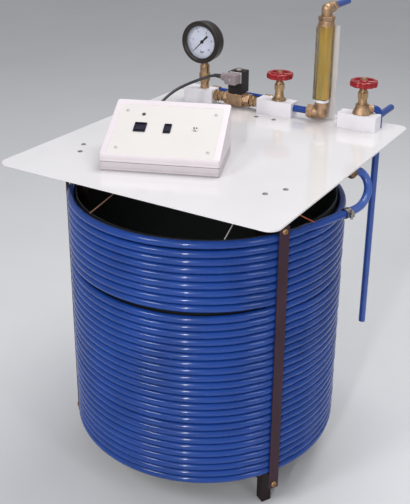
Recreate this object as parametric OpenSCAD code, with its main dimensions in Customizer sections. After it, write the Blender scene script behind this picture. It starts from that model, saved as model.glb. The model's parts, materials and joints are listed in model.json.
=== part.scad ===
// Coiled pipe rig for flow and pressure surge tests: a long blue tube wound on a
// three-legged frame, under a white plate that carries the instruments.
// Millimetres, +Z up. The origin is on the floor under the middle of the rig.

/* [Coil] */
// Outside diameter of the wound coil
coil_od = 550; // [480:5:580]
// Outside diameter of the tube
tube_od = 15; // [12:0.5:16]
// Turns that show on the front
coil_turns = 33; // [20:1:35]
// Free space between neighbouring turns
turn_gap = 0.4; // [0.4:0.1:2]
// Height of the lowest turn's centre above the floor
coil_base = 84.5; // [84:0.5:110]
// Straight rings in each turn
turn_rings = 22; // [16:1:24]
// Wall of the black liner inside the coil
liner_t = 2; // [1:0.5:4]

/* [Frame] */
// Side of the square legs
leg_w = 20; // [18:1:25]
// Wall of the legs
leg_wall = 2; // [1.5:0.5:3]
// Depth of the top rails
rail_h = 40; // [25:1:45]
// Depth of the bottom rails
base_rail_h = 25; // [15:1:30]
// Thickness of the rails and of the cleats under the plate
rail_t = 4; // [3:0.5:6]
// Height of the bottom rails above the floor
base_rail_z = 45; // [35:1:50]
// Height from the top of the coil to the plate
head_room = 65; // [60:1:110]
// Length of the cleats under the plate
cleat_l = 64; // [56:1:80]
// Width of the cleats under the plate
cleat_w = 30; // [24:1:40]
// Thickness of the foot caps under the legs
foot_t = 4; // [3:0.5:8]

/* [Straps] */
// Width of the straps outside the coil
strap_w = 20; // [16:1:30]
// Thickness of the straps
strap_t = 3; // [2:0.5:5]
// Height of the lower strap bolts above the floor
strap_bolt_z = 60; // [58:0.5:62]
// Distance of the strap ends from the bolts
strap_end = 9; // [8:1:12]
// Shank diameter of the strap bolts
bolt_d = 6; // [5:0.5:8]

/* [Plate] */
// Width of the white plate
plate_w = 580; // [560:2:700]
// Depth of the white plate
plate_d = 626; // [610:2:700]
// Thickness of the white plate
plate_t = 3; // [2:0.5:6]
// Corner radius of the plate
plate_corner = 22; // [5:1:40]
// Distance from the coil's axis to the left edge of the plate
plate_left = 293; // [280:1:320]
// Distance from the coil's axis to the front edge of the plate
plate_front = 271; // [262:1:300]
// Spacing of the two plate screws on each leg
screw_pitch = 42; // [36:1:48]
// Shank diameter of the plate screws
screw_d = 5; // [4:0.5:6]

/* [Pipe line on the plate] */
// Distance from the coil's axis back to the pipe line
line_y = 290; // [286:1:300]
// Height of the pipe line above the plate
line_z = 19; // [18:0.5:20]
// Length of the white blocks
block_l = 75; // [70:1:78]
// Width of the white blocks
block_w = 34; // [32:1:40]
// Height of the white blocks
block_h = 32; // [31:0.5:36]
// Place of the gauge block along the line
gauge_block_x = -191; // [-195:1:-190]
// How much further the valve blocks reach to the left than the gauge block
block_more = 10; // [4:1:12]
// Place of the centre valve along the line
centre_x = 10; // [8:1:14]
// Place of the right valve along the line
right_x = 203; // [200:1:204]
// Place of the flow meter along the line
flow_x = 112; // [110:1:116]
// Distance of the bypass pipe behind the pipe line
bypass_back = 36; // [34:1:42]
// Diameter of the flow ways in the blocks
bore_d = 11; // [8:0.5:12]

/* [Pressure gauge] */
// Outside diameter of the gauge bezel
gauge_d = 96; // [90:1:110]
// Depth of the gauge case
gauge_depth = 32; // [30:1:40]
// Visible diameter of the dial
dial_d = 73; // [66:1:80]
// Place of the gauge along the line
gauge_x = -182; // [-186:1:-178]
// How far the gauge case stands in front of its stem
gauge_forward = 6; // [4:0.5:7]
// Height of the gauge's centre above the plate
gauge_z = 141; // [139:1:160]
// Length of the needle from its centre to the tip
needle_l = 32; // [24:1:35]
// Where the needle rests, clockwise from straight up
needle_rest = 225; // [215:5:235]

/* [Solenoid valve] */
// Length of the brass valve body
valve_l = 66; // [60:1:70]
// Place of the valve body's centre along the line
valve_x = -93; // [-96:1:-90]
// Width of the black coil
magnet_w = 32; // [28:1:36]
// Depth of the black coil
magnet_d = 37; // [32:1:40]
// Height of the black coil
magnet_h = 45; // [38:1:55]
// Height of the black coil's foot above the plate
magnet_z = 39.5; // [38:0.5:44]
// Width of the cable connector
plug_w = 28; // [24:1:30]
// Height of the cable connector
plug_h = 19; // [18:1:24]
// Reach of the cable connector from the coil
plug_l = 32; // [26:1:36]
// Travel of the plunger
plunger_lift = 4; // [2:0.5:5]

/* [Hand valves] */
// Diameter of the handwheels
wheel_d = 60; // [50:1:70]
// Width of the handwheel rims
rim_t = 9; // [7:0.5:11]
// Thickness of the handwheel rims
rim_h = 13; // [10:0.5:13.5]
// Finger grooves round each handwheel
wheel_grooves = 12; // [8:1:16]
// Height of the valve necks
neck_h = 18.5; // [17:0.5:26]
// Height of the gland nuts
gland_h = 17; // [14:1:22]
// Diameter of the valve stems
stem_d = 8; // [6:0.5:9]
// Travel of the gates
gate_lift = 10; // [6:0.5:10]
// Diameter of the gates
gate_d = 15; // [12:0.5:16]

/* [Flow meter] */
// Side of the clear block
meter_w = 28; // [26:1:34]
// Height of the clear block
meter_h = 157; // [130:1:180]
// Height of the clear block's foot above the plate
meter_z = 50; // [48:1:54]
// Outside diameter of the amber tube
meter_tube_d = 19; // [17:0.5:21]
// Width of the white back plate
back_w = 50; // [44:1:56]
// Thickness of the white back plate
back_t = 3; // [2:0.5:4]
// Diameter of the float
float_d = 11; // [10.5:0.1:11.5]
// Travel of the float
float_lift = 110; // [80:1:110]

/* [Control box] */
// Width of the control box
box_w = 222; // [216:1:240]
// Depth of the control box
box_d = 145; // [140:1:160]
// Height of the control box at the front
box_front = 31; // [28:0.5:36]
// Height of the control box at the back
box_back = 95; // [90:1:105]
// Wall of the control box
box_wall = 3; // [2:0.5:4]
// Height of the box's base tray
tray_h = 17; // [14:0.5:20]
// Turn of the box on the plate
box_turn = 21.8; // [15:0.1:30]
// Place of the box's centre to the right of the coil's axis
box_x = -31.75; // [-50:0.25:-10]
// Place of the box's centre behind the coil's axis
box_y = -91.75; // [-110:0.25:-80]

/* [Pipe ends] */
// Reach of the inlet pipe behind the pipe line
inlet_reach = 144; // [90:1:160]
// Reach of the outlet pipe behind the flow meter
outlet_reach = 110; // [80:1:140]
// Height of the hanging hose's free end above the floor
drain_end = 190; // [150:1:300]
// Outside diameter of the hose at the top of the coil
hose_d = 16; // [14:0.5:17]
// Diameter of the cable of the solenoid valve
cable_d = 6.5; // [5:0.5:8]

/* [Hidden] */
$fn = 48;

// Clearances: between pieces that only lie together, and between pieces that run or slide
gap = 0.3;
run = 0.05;

// The coil
tube_r = tube_od / 2;
// How far a pipe's end sits in its socket
spigot = 6;
bore_r = bore_d / 2;
coil_r = coil_od / 2 - tube_r;
pitch = tube_od + turn_gap;
leg_turns = [210, 330, 90];
riser_at = [-206, line_y];
clamp_at = [288, 22];
low_exit = atan2(riser_at[1], riser_at[0]) + acos(coil_r / norm(riser_at));
high_exit = atan2(clamp_at[1], clamp_at[0]) - acos(coil_r / norm(clamp_at));
part_turn = (high_exit - low_exit) - 360 * floor((high_exit - low_exit) / 360);
coil_sweep = 360 * (coil_turns - 1) + part_turn;
coil_steps = round(coil_sweep / 360 * turn_rings);
low_tail = sqrt(norm(riser_at) ^ 2 - coil_r ^ 2);
high_tail = sqrt(norm(clamp_at) ^ 2 - coil_r ^ 2);
low_end = 126;
coil_end_z = coil_base + pitch * coil_sweep / 360;
coil_top = coil_end_z + tube_r;
coil_inside = coil_r * cos(180 / turn_rings) - tube_r;

// The frame
liner_ro = coil_inside - gap;
liner_ri = liner_ro - liner_t;
leg_r = sqrt((liner_ri - gap) ^ 2 - (leg_w / 2) ^ 2) - leg_w / 2;
leg_face = leg_r + leg_w / 2;
strap_r = coil_od / 2 + gap;
plate_under = coil_top + head_room;
plate_top = plate_under + plate_t;
leg_top = plate_under - rail_t;
line_h = plate_top + line_z;
strap_bolt_top = coil_top + 7;
liner_z = helix_z(leg_turns[2]) - tube_r;
liner_h = coil_top - 4 - liner_z;
bend_r = 60;

// The hand valves
gate_h = 16;
flange_h = 8;
side_boss_h = 18;
centre_neck = block_h + flange_h;
right_neck = block_h + side_boss_h;
gate_foot = line_z - bore_r;
wheel_rise = 12.5;
drain_at = [232, 317];
drain_turn = atan2(drain_at[1] - line_y, drain_at[0] - right_x);
drain_reach = norm([drain_at[1] - line_y, drain_at[0] - right_x]);
drain_rise = block_h + 9;
drain_bend = 14;
union_h = 32;
elbow_at = [272, 76];
under_z = plate_top - 20;

// The control box
box_tilt = atan2(box_back - box_front, box_d);
box_slope = norm([box_back - box_front, box_d]);
panel_t = 1.5;
panel_in = [14, 3];
gland_x = -75;
gland_z = 27;
gland_l = 24;
feed_r = 6;
feed_bend = 25;
port_l = 14;
boss_reach = 24;
drain_r = 6;
block_screw = block_l / 2 - 7;
inlet_x = 217.5;
inlet_z = line_z - 7;
bypass_left = -176;
centre_left = centre_x - block_l / 2 - block_more;
bypass_right = centre_left + 9.5;
meter_arm = 32;
outlet_z = meter_z + meter_h + 36;
outlet_arm = 35;

// The gauge's depths, from the middle of its case towards the face
case_r = gauge_d / 2 - 1.5 - gap;
case_wall = 2;
case_lip = 12.3;
bezel_skirt = 4;
window_z = 9.7;
dial_z = 5;
arbor_r = 2;
bourdon_r = 30;
bourdon_z = -4;
bourdon_start = -74;

// The solenoid valve
plunger_r = 5;
core_r = 7;
core_stop = magnet_z + magnet_h * 0.55;
plunger_top = core_stop - 12;

// The panel: its size, and the places of what it carries, from its left and front corner
panel_w = box_w - 26;
screw_in = 13;
panel_l = box_slope - 17.5;
panel_top = gap - 1;
lamp_at = [60, 116];
lamp_r = 2.8;
socket_at = [164, 82];
panel_screw_at = [for (u = [screw_in, panel_w - screw_in], v = [screw_in + 5, panel_l - screw_in - 6])
    [panel_in[0] + u, panel_in[1] + v]];
// Place, width and length of each switch frame, and width and length of its rocker
switches = [[60, 79, 23, 25, 18, 19.6], [112, 79, 14, 25, 9.4, 19.6]];
pivot_z = -4;
rocker_tilt = -10;

// Routes of the hose and the cable, from the coil's axis, with heights from the plate's top
lead_route = [[288, 22, -75.5], [292, 35, -75.5], [295, 48, -75.5], [297, 61, -75], [298, 74, -73],
    [298.5, 86, -68.5], [298, 96, -62], [296.5, 103, -53.5], [293, 108, -44.5], [288.5, 110, -36.5],
    [283, 109, -29], [278, 105.5, -23.5], [274, 101, -20.8], [272, 95, -20], [272, 88.3, -20]];
cable_route = [[-116.3, 255.5, 75], [-128, 255.5, 75], [-143, 255.3, 72.5], [-158, 252, 67],
    [-173, 245, 60.5], [-186, 233, 54.5], [-196, 215, 49], [-201.5, 193, 43.5], [-203.5, 168, 37],
    [-203, 140, 28], [-200, 112, 17], [-195, 86, 9.5], [-188, 62, 5], [-179, 40, 4.2],
    [-168, 22, 7], [-157, 7, 13], [-148.5, -5, 21.5], [-141.8, -18.4, 27], [-137.3, -29.7, 27]];

function helix_z(turn) = coil_base
    + pitch * ((turn - low_exit) - 360 * floor((turn - low_exit) / 360)) / 360;
function from_turn(turn) = [cos(turn), sin(turn), 0];

// The tube's rings: a straight end, the turns and a straight end
function coil_ring(turn, z, ahead) =
    [for (k = [0 : 5]) (coil_r + tube_r * cos(60 * k)) * from_turn(turn)
        + ahead * [-sin(turn), cos(turn), 0] + [0, 0, z + tube_r * sin(60 * k)]];
coil_points = concat(
    coil_ring(low_exit, coil_base, -low_end),
    [for (i = [0 : coil_steps]) each coil_ring(low_exit + coil_sweep * i / coil_steps,
        coil_base + (coil_end_z - coil_base) * i / coil_steps, 0)],
    coil_ring(high_exit, coil_end_z, high_tail - gap));

// A tube swept along a route of points
function middle(route, i, d) = let (n = len(route) - 1)
    i == 0 ? route[1] - route[0] : i == n ? route[n] - route[n - 1] : route[i + 1] - route[i - 1];
function unit(v) = v / norm(v);
function sweep_points(route, r, sides) =
    [for (i = [0 : len(route) - 1]) let (ahead = unit(middle(route, i)),
        side = unit(cross(ahead, [0.2, 0.1, 0.97])), up = cross(side, ahead))
        for (k = [0 : sides - 1]) route[i] + r * (cos(360 * k / sides) * side
            + sin(360 * k / sides) * up)];
function tube_faces(rings, n) = concat(
    [for (k = [1 : n - 2]) [0, k + 1, k]],
    [for (i = [0 : rings - 2]) for (k = [0 : n - 1]) for (half = [0, 1])
        let (a = i * n + k, b = i * n + (k + 1) % n)
        half == 0 ? [a, b, b + n] : [a, b + n, a + n]],
    [for (k = [1 : n - 2]) [(rings - 1) * n, (rings - 1) * n + k, (rings - 1) * n + k + 1]]);

// The origin is the middle of the footprint of all but the hoses and the cable
axis_x = (plate_left - max(plate_w - plate_left, max([for (p = coil_points) p[0]]))) / 2;
axis_y = (max(plate_front, -min([for (p = coil_points) p[1]])) - line_y - inlet_reach) / 2;
least_gap = min([for (i = [1 : coil_steps - turn_rings]) let (
    low = [for (k = [0 : 5]) coil_points[i * 6 + k][2]],
    high = [for (k = [0 : 5]) coil_points[(i + turn_rings) * 6 + k][2]]) min(high) - max(low)]);
echo(least_gap_between_turns = least_gap);

module from_axis() translate([axis_x, axis_y, 0]) children();
module along_x(l, r) rotate([0, 90, 0]) cylinder(h = l, r = r);
module along_y(l, r) rotate([-90, 0, 0]) cylinder(h = l, r = r);
module hexagon(af, h) cylinder(h = h, r = af / 2 / cos(30), $fn = 6);
module ring(ro, ri, h) difference() {
    cylinder(h = h, r = ro);
    translate([0, 0, -1]) cylinder(h = h + 2, r = ri);
}
module slab(w, d, h, r) linear_extrude(h) {
    square([w - 2 * r, d], center = true);
    square([w, d - 2 * r], center = true);
    for (x = [-1, 1]) for (y = [-1, 1]) translate([x * (w / 2 - r), y * (d / 2 - r)]) circle(r = r);
}
module on_line(x, z) translate([x, line_y, plate_top + z]) children();
module each_leg() for (turn = leg_turns) rotate([0, 0, turn]) children();
module rod(a, b, r) let (d = b - a) translate(a)
    rotate([0, acos(d[2] / norm(d)), atan2(d[1], d[0])]) cylinder(h = norm(d), r = r);

// Frame

module leg(turn) color("#3c3232") from_axis() rotate([0, 0, turn]) difference() {
    translate([leg_r - leg_w / 2, -leg_w / 2, foot_t]) cube([leg_w, leg_w, leg_top - foot_t]);
    translate([leg_r - leg_w / 2 + leg_wall, -leg_w / 2 + leg_wall, foot_t - 1])
        cube([leg_w - 2 * leg_wall, leg_w - 2 * leg_wall, leg_top - foot_t + 2]);
    for (z = [strap_bolt_z, strap_bolt_top]) translate([leg_r, 0, z])
        along_x(leg_w, bolt_d / 2 + gap);
}
module leg_left() leg(leg_turns[0]);
module leg_right() leg(leg_turns[1]);
module leg_rear() leg(leg_turns[2]);

module foot_side() rotate([90, 0, 0]) translate([0, 0, -leg_w / 2])
    linear_extrude(leg_w) polygon([[-leg_w / 2 + 1.5, 0], [leg_w / 2 - 1.5, 0],
        [leg_w / 2, 1.5], [leg_w / 2, foot_t], [-leg_w / 2, foot_t], [-leg_w / 2, 1.5]]);
module leg_feet() color("#1c1c1e") from_axis() each_leg() translate([leg_r, 0, 0]) {
    intersection() {
        foot_side();
        rotate([0, 0, 90]) foot_side();
    }
    translate([0, 0, foot_t + 7]) difference() {
        cube([leg_w - 2 * leg_wall - 2 * gap, leg_w - 2 * leg_wall - 2 * gap, 14], center = true);
        translate([0, 0, 2]) cube([leg_w - 4 * leg_wall, leg_w - 4 * leg_wall, 14], center = true);
    }
}

module rail(turn, z, h) rotate([0, 0, turn]) difference() {
    translate([-leg_r * sin(60), -leg_r / 2 - rail_t / 2, z]) cube([2 * leg_r * sin(60), rail_t, h]);
    for (side = [-30, 210]) rotate([0, 0, side]) translate([leg_r - leg_w / 2, -leg_w / 2, z - 1])
        cube([leg_w, leg_w, h + 2]);
}
module frame_rails() color("#3c3232") from_axis() {
    for (turn = leg_turns) {
        rail(turn - 90, base_rail_z, base_rail_h);
        rail(turn - 90, leg_top - gap - rail_h, rail_h);
    }
    each_leg() difference() {
        translate([leg_r - cleat_w / 2, -cleat_l / 2, leg_top]) cube([cleat_w, cleat_l, rail_t]);
        plate_screw_holes(leg_top);
    }
}
module plate_screw_holes(z) for (side = [-1, 1]) translate([leg_r, side * screw_pitch / 2, z - 1])
    cylinder(h = rail_t + plate_t + 2, r = screw_d / 2 + gap);

module coil_straps() color("#463038") from_axis() each_leg() difference() {
    translate([strap_r, -strap_w / 2, strap_bolt_z - strap_end])
        cube([strap_t, strap_w, strap_bolt_top - strap_bolt_z + 2 * strap_end]);
    for (z = [strap_bolt_z, strap_bolt_top]) translate([strap_r - 1, 0, z])
        along_x(strap_t + 2, bolt_d / 2 + gap);
}

// The lower blocks carry the first turn, and their inner step carries the liner
module strap_blocks() color("#2c2628") from_axis() for (turn = leg_turns) rotate([0, 0, turn])
    difference() {
        union() {
            translate([coil_inside, -strap_w / 2, strap_bolt_z - strap_end])
                cube([strap_r - gap - coil_inside, strap_w,
                    helix_z(turn) - tube_r - gap - strap_bolt_z + strap_end]);
            translate([leg_face + gap, -strap_w / 2, strap_bolt_z - strap_end])
                cube([coil_inside - leg_face - gap, strap_w,
                    helix_z(turn) - tube_r - gap - strap_bolt_z + strap_end]);
            translate([leg_face + gap, -strap_w / 2, strap_bolt_z - strap_end])
                cube([liner_ro - gap - leg_face, strap_w,
                    liner_z - gap - strap_bolt_z + strap_end]);
            translate([leg_face + gap, -strap_w / 2, coil_top + gap])
                cube([strap_r - leg_face - 2 * gap, strap_w, 14]);
        }
        for (z = [strap_bolt_z, strap_bolt_top]) translate([leg_r, 0, z])
            along_x(strap_r - leg_r, bolt_d / 2 + gap);
    }

module strap_bolts() color("#b8a06a") from_axis() each_leg()
    for (z = [strap_bolt_z, strap_bolt_top]) translate([0, 0, z]) {
        translate([leg_face - leg_wall - 6.5, 0, 0])
            along_x(strap_r + strap_t - leg_face + leg_wall + 6.5, bolt_d / 2);
        translate([strap_r + strap_t, 0, 0]) rotate([0, 90, 0]) intersection() {
            cylinder(h = 4, r = bolt_d);
            translate([0, 0, 4 - bolt_d * 1.25]) sphere(r = bolt_d * 1.25);
        }
        translate([leg_face - leg_wall - 5, 0, 0]) rotate([0, 90, 0]) difference() {
            hexagon(bolt_d * 1.6, 4.7);
            translate([0, 0, -1]) cylinder(h = 7, r = bolt_d / 2);
        }
    }

// Coil

module coil_liner() color("#202224") from_axis() translate([0, 0, liner_z])
    ring(liner_ro, liner_ri, liner_h, $fn = 96);

module coil_tube() color("#3450b8") from_axis()
    polyhedron(coil_points, tube_faces(coil_steps + 3, 6));

// Thin bands that tie the top turn to the rails
module coil_ties() color("#d8d0cc") from_axis() for (tie = [[[160, -205, -1.5], [150, -125.5, 30]],
        [[262, -64, 0.6], [194, -86, 34]], [[-102, -240, -2], [-95, -125.5, 28]]])
    rod(tie[0] + [0, 0, coil_top], tie[1] + [0, 0, coil_top], 1.2);

module hose_clamp() color("#b9b4a8") from_axis() translate([clamp_at[0], clamp_at[1], coil_end_z])
    rotate([0, 0, high_exit]) rotate([-90, 0, 0]) translate([0, 0, -7]) {
        ring(hose_d / 2 + gap + 1.2, hose_d / 2 + gap, 14);
        translate([hose_d / 2 + gap + 1.2, -5, 2]) cube([6, 10, 10]);
    }

module lead_hose() color("#3450b8") from_axis() translate([0, 0, plate_top])
    polyhedron(sweep_points(lead_route, hose_d / 2, 10), tube_faces(len(lead_route), 10));

module drain_hose() color("#3c50a0") from_axis() polyhedron(
    [for (z = [drain_end, plate_under - union_h]) for (k = [0 : 9])
        [drain_at[0] + tube_r * cos(36 * k), drain_at[1] + tube_r * sin(36 * k), z]],
    tube_faces(2, 10));

// Pipes between the coil, the blocks and the flow meter

module bend(r, tube) rotate_extrude(angle = 90) translate([r, 0]) circle(r = tube);

module riser_pipe() color("#3450b8") from_axis() translate([riser_at[0], riser_at[1], 0])
    rotate([0, 0, low_exit]) {
        translate([0, bend_r, coil_base])
            along_y(low_tail - low_end - gap - bend_r, tube_r);
        translate([0, bend_r, coil_base + bend_r]) rotate([-90, 0, -90]) bend(bend_r, tube_r);
        translate([0, 0, coil_base + bend_r])
            cylinder(h = plate_under - union_h + 8 - coil_base - bend_r, r = tube_r);
    }

module feed_pipe() color("#3450b8") from_axis() translate([0, 0, under_z]) {
    translate([right_x + feed_bend, elbow_at[1], 0])
        along_x(elbow_at[0] - port_l - gap - right_x - feed_bend, feed_r);
    translate([right_x + feed_bend, elbow_at[1] + feed_bend, 0]) rotate([0, 0, 180])
        bend(feed_bend, feed_r);
    translate([right_x, elbow_at[1] + feed_bend, 0])
        along_y(line_y - port_l - gap - elbow_at[1] - feed_bend, feed_r);
}

module link_pipes() color("#3450b8") from_axis() {
    on_line(centre_x + block_l / 2 - 6, line_z) along_x(flow_x - meter_arm - centre_x - block_l / 2 + 12, tube_r);
    on_line(bypass_left + port_l - 6, line_z) translate([0, bypass_back, 0])
        along_x(bypass_right - bypass_left - 2 * port_l + 12, tube_r);
    on_line(right_x, drain_rise) rotate([0, 0, drain_turn]) {
        translate([boss_reach - 6, 0, 0])
            along_x(drain_reach - drain_bend - boss_reach + 6 + gap, drain_r - run);
        translate([drain_reach - drain_bend, 0, -drain_bend]) rotate([90, 0, 0])
            bend(drain_bend, drain_r);
        translate([drain_reach, 0, -drain_rise - plate_t - 6])
            cylinder(h = drain_rise - drain_bend + plate_t + 6 + gap, r = drain_r - run);
    }
}

module pipe_end(socket, reach) {
    translate([0, socket - spigot, 0]) along_y(spigot + 10, tube_r - gap);
    translate([0, socket + gap, 0]) along_y(reach - socket - gap, tube_r);
}
module pipe_stubs() color("#3450b8") from_axis() {
    on_line(inlet_x, inlet_z) pipe_end(block_w / 2, inlet_reach);
    on_line(flow_x, outlet_z) pipe_end(outlet_arm, outlet_reach);
}

// Brass couplings and elbows
module tube_fittings() color("#c69a5a") from_axis() {
    // coupling between the coil's lower end and the riser
    translate([riser_at[0], riser_at[1], coil_base]) rotate([0, 0, low_exit])
        translate([0, low_tail - low_end + 20, 0]) rotate([90, 0, 0]) difference() {
            union() {
                cylinder(h = 40, r = tube_r + 2.5);
                translate([0, 0, 12]) hexagon(2 * tube_r + 6, 16);
            }
            translate([0, 0, -1]) cylinder(h = 42, r = tube_r + gap);
        }
    // riser fitting under the gauge block
    translate([riser_at[0], riser_at[1], 0]) difference() {
        union() {
            translate([0, 0, plate_under - union_h]) rotate([0, 0, 30]) hexagon(24, union_h - gap);
            translate([0, 0, plate_under - union_h]) cylinder(h = union_h + plate_t + 8, r = 7);
        }
        translate([0, 0, plate_under - union_h - 1]) cylinder(h = 10, r = tube_r + gap);
        translate([0, 0, plate_under - union_h]) cylinder(h = union_h + plate_t + 10, r = 4.5);
    }
    // elbow between the hose and the pipe under the plate
    translate([elbow_at[0], elbow_at[1], under_z]) difference() {
        union() {
            sphere(r = 9);
            along_y(port_l - 2, 8);
            rotate([0, -90, 0]) cylinder(h = port_l - gap, r = 8);
            cylinder(h = plate_under - under_z - gap, r = 8);
        }
        rotate([0, -90, 0]) cylinder(h = port_l + 1, r = feed_r - 1.5);
        along_y(port_l + 1, feed_r - 1.5);
    }
    // elbow between the pipe under the plate and the right block
    translate([right_x, line_y, under_z]) difference() {
        union() {
            sphere(r = 9);
            rotate([90, 0, 0]) cylinder(h = port_l, r = 8);
            cylinder(h = plate_under - under_z - gap, r = 9);
            cylinder(h = plate_top - under_z + 8, r = 7);
        }
        rotate([90, 0, 0]) cylinder(h = port_l + 1, r = feed_r - 1.5);
        cylinder(h = plate_top - under_z + 9, r = feed_r - 1.5);
    }
    // union between the drain elbow and the hanging hose
    translate([drain_at[0], drain_at[1], plate_under - union_h]) difference() {
        union() {
            cylinder(h = union_h - gap, r = 10);
            translate([0, 0, 6]) hexagon(22, 10);
            translate([0, 0, union_h - 9]) hexagon(22, 9 - gap);
        }
        translate([0, 0, union_h - 12]) cylinder(h = 13, r = drain_r + gap);
        translate([0, 0, -1]) cylinder(h = union_h, r = 4.5);
    }
    // bypass elbows behind the gauge block and the centre block
    for (side = [-1, 1]) on_line(side < 0 ? bypass_left : bypass_right, line_z)
        translate([0, bypass_back, 0]) mirror([side > 0 ? 1 : 0, 0, 0]) difference() {
            union() {
                sphere(r = 10);
                rotate([90, 0, 0]) cylinder(h = bypass_back - block_w / 2 - gap, r = 9);
                along_x(port_l, 10);
            }
            translate([port_l - 8, 0, 0]) along_x(9, tube_r + gap);
            along_x(port_l, bore_r - 1);
            rotate([90, 0, 0]) cylinder(h = bypass_back, r = bore_r - 1);
        }
    // nipple and union of the solenoid valve
    on_line(gauge_block_x + block_l / 2 - 6, line_z) difference() {
        union() {
            along_x(valve_x - valve_l / 2 - gap - gauge_block_x - block_l / 2 + 6, 9);
            translate([6 + gap, 0, 0]) rotate([0, 90, 0]) hexagon(23, 11);
            translate([6 + gap + 14, 0, 0]) rotate([0, 90, 0]) hexagon(20, 8);
        }
        translate([-1, 0, 0]) along_x(60, bore_r);
    }
    on_line(valve_x + valve_l / 2 + gap, line_z) difference() {
        union() {
            along_x(centre_left + 6 - valve_x - valve_l / 2 - gap, 9);
            rotate([0, 90, 0]) hexagon(22, 9);
            translate([11, 0, 0]) rotate([0, 90, 0])
                hexagon(20, centre_left - 2 * gap - valve_x - valve_l / 2 - 11);
        }
        translate([-1, 0, 0]) along_x(80, bore_r);
    }
}

// Plate and blocks

module plate_outline() {
    translate([-plate_left + plate_corner, -plate_front])
        square([plate_w - 2 * plate_corner, plate_d]);
    translate([-plate_left, -plate_front + plate_corner])
        square([plate_w, plate_d - 2 * plate_corner]);
    for (x = [plate_corner, plate_w - plate_corner]) for (y = [plate_corner, plate_d - plate_corner])
        translate([x - plate_left, y - plate_front]) circle(r = plate_corner);
}
module top_plate() color("#e9e6e8") from_axis() difference() {
    translate([0, 0, plate_under]) linear_extrude(plate_t) plate_outline();
    each_leg() plate_screw_holes(plate_under);
    translate([0, 0, plate_under - 1]) {
        translate(riser_at) cylinder(h = plate_t + 2, r = 8);
        translate([right_x, line_y]) cylinder(h = plate_t + 2, r = 8);
        translate(drain_at) cylinder(h = plate_t + 2, r = drain_r + 1);
        for (x = [gauge_block_x, centre_x, right_x]) for (side = [-1, 1])
            translate([x + side * block_screw, line_y]) cylinder(h = plate_t + 2, r = 2 + gap);
    }
}

module plate_screws() color("#8d8d90") from_axis() {
    each_leg() for (side = [-1, 1]) translate([leg_r, side * screw_pitch / 2, 0]) {
        translate([0, 0, leg_top - 6]) cylinder(h = rail_t + plate_t + 6, r = screw_d / 2);
        translate([0, 0, plate_top]) intersection() {
            cylinder(h = 2.2, r = screw_d);
            translate([0, 0, 2.2 - screw_d * 1.6]) sphere(r = screw_d * 1.6);
        }
        translate([0, 0, leg_top - 4 - gap]) hexagon(screw_d * 1.6, 4);
    }
    for (x = [gauge_block_x, centre_x, right_x]) for (side = [-1, 1])
        translate([x + side * block_screw, line_y, plate_under - 3]) {
            cylinder(h = 3 - gap, r = 3);
            cylinder(h = plate_t + 10, r = 2);
        }
}

module block(x, more = 0) on_line(x, 0) difference() {
    translate([-more / 2, 0, 0]) slab(block_l + more, block_w, block_h, 1.5);
    for (side = [-1, 1]) translate([side * block_screw, 0, -1]) cylinder(h = 9, r = 2 + gap);
}
module mounting_blocks() color("#ebe9ec") from_axis() {
    difference() {
        block(gauge_block_x);
        on_line(riser_at[0], line_z) along_x(block_l, bore_r);
        on_line(gauge_block_x + block_l / 2 - 7, line_z) along_x(10, 9 + gap);
        on_line(riser_at[0], -1) cylinder(h = 10, r = 7 + gap);
        on_line(riser_at[0], -1) cylinder(h = line_z + 1, r = 5);
        on_line(gauge_x, block_h - 9) cylinder(h = 10, r = 8 + gap);
        on_line(gauge_x, line_z) cylinder(h = block_h, r = 3);
        on_line(bypass_left, line_z) along_y(block_w, bore_r - 1);
    }
    difference() {
        block(centre_x, block_more);
        on_line(centre_left - 1, line_z) along_x(block_l + block_more + 2, bore_r);
        on_line(centre_left - 3, line_z) along_x(10, 9 + gap);
        on_line(centre_x + block_l / 2 - 7, line_z) along_x(10, tube_r + gap);
        on_line(centre_x, gate_foot) cylinder(h = block_h, r = gate_d / 2 + run);
        on_line(bypass_right, line_z) along_y(block_w, bore_r - 1);
    }
    difference() {
        block(right_x, block_more);
        on_line(right_x, -1) cylinder(h = block_h + 2, r = bore_r);
        on_line(right_x, -1) cylinder(h = 10, r = 7 + gap);
        on_line(right_x, inlet_z) along_x(inlet_x - right_x, bore_r);
        on_line(inlet_x, inlet_z) along_y(block_w, bore_r);
        on_line(inlet_x, inlet_z) translate([0, block_w / 2 - 7, 0]) along_y(10, tube_r + gap);
    }
}

// Pressure gauge, drawn with its face along +Z and turned to the front

module at_gauge() on_line(gauge_x, gauge_z) translate([0, -gauge_forward, 0]) rotate([90, 0, 0])
    children();

module gauge_stem() color("#c69a5a") from_axis() {
    difference() {
        union() {
            on_line(gauge_x, block_h - 8) cylinder(h = 10, r = 8);
            on_line(gauge_x, block_h + gap) cylinder(h = 17, r = 10.5);
            on_line(gauge_x, block_h + 17) hexagon(22, 19);
            on_line(gauge_x, block_h + 36) slab_block();
            on_line(gauge_x, block_h + 40) cylinder(h = gauge_z - case_r - block_h - 38, r = 7);
            on_line(gauge_x, block_h + 40) cylinder(h = gauge_z - case_r - block_h - 32, r = 4.9);
            on_line(gauge_x, gauge_z - case_r + 5) translate([0, -gauge_forward, 0])
                slab(14, 10, 16, 1);
        }
        on_line(gauge_x, block_h - 10) cylinder(h = gauge_z - case_r - block_h + 12, r = 3);
    }
}
module slab_block() slab(21, 20, 20, 2);

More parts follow.
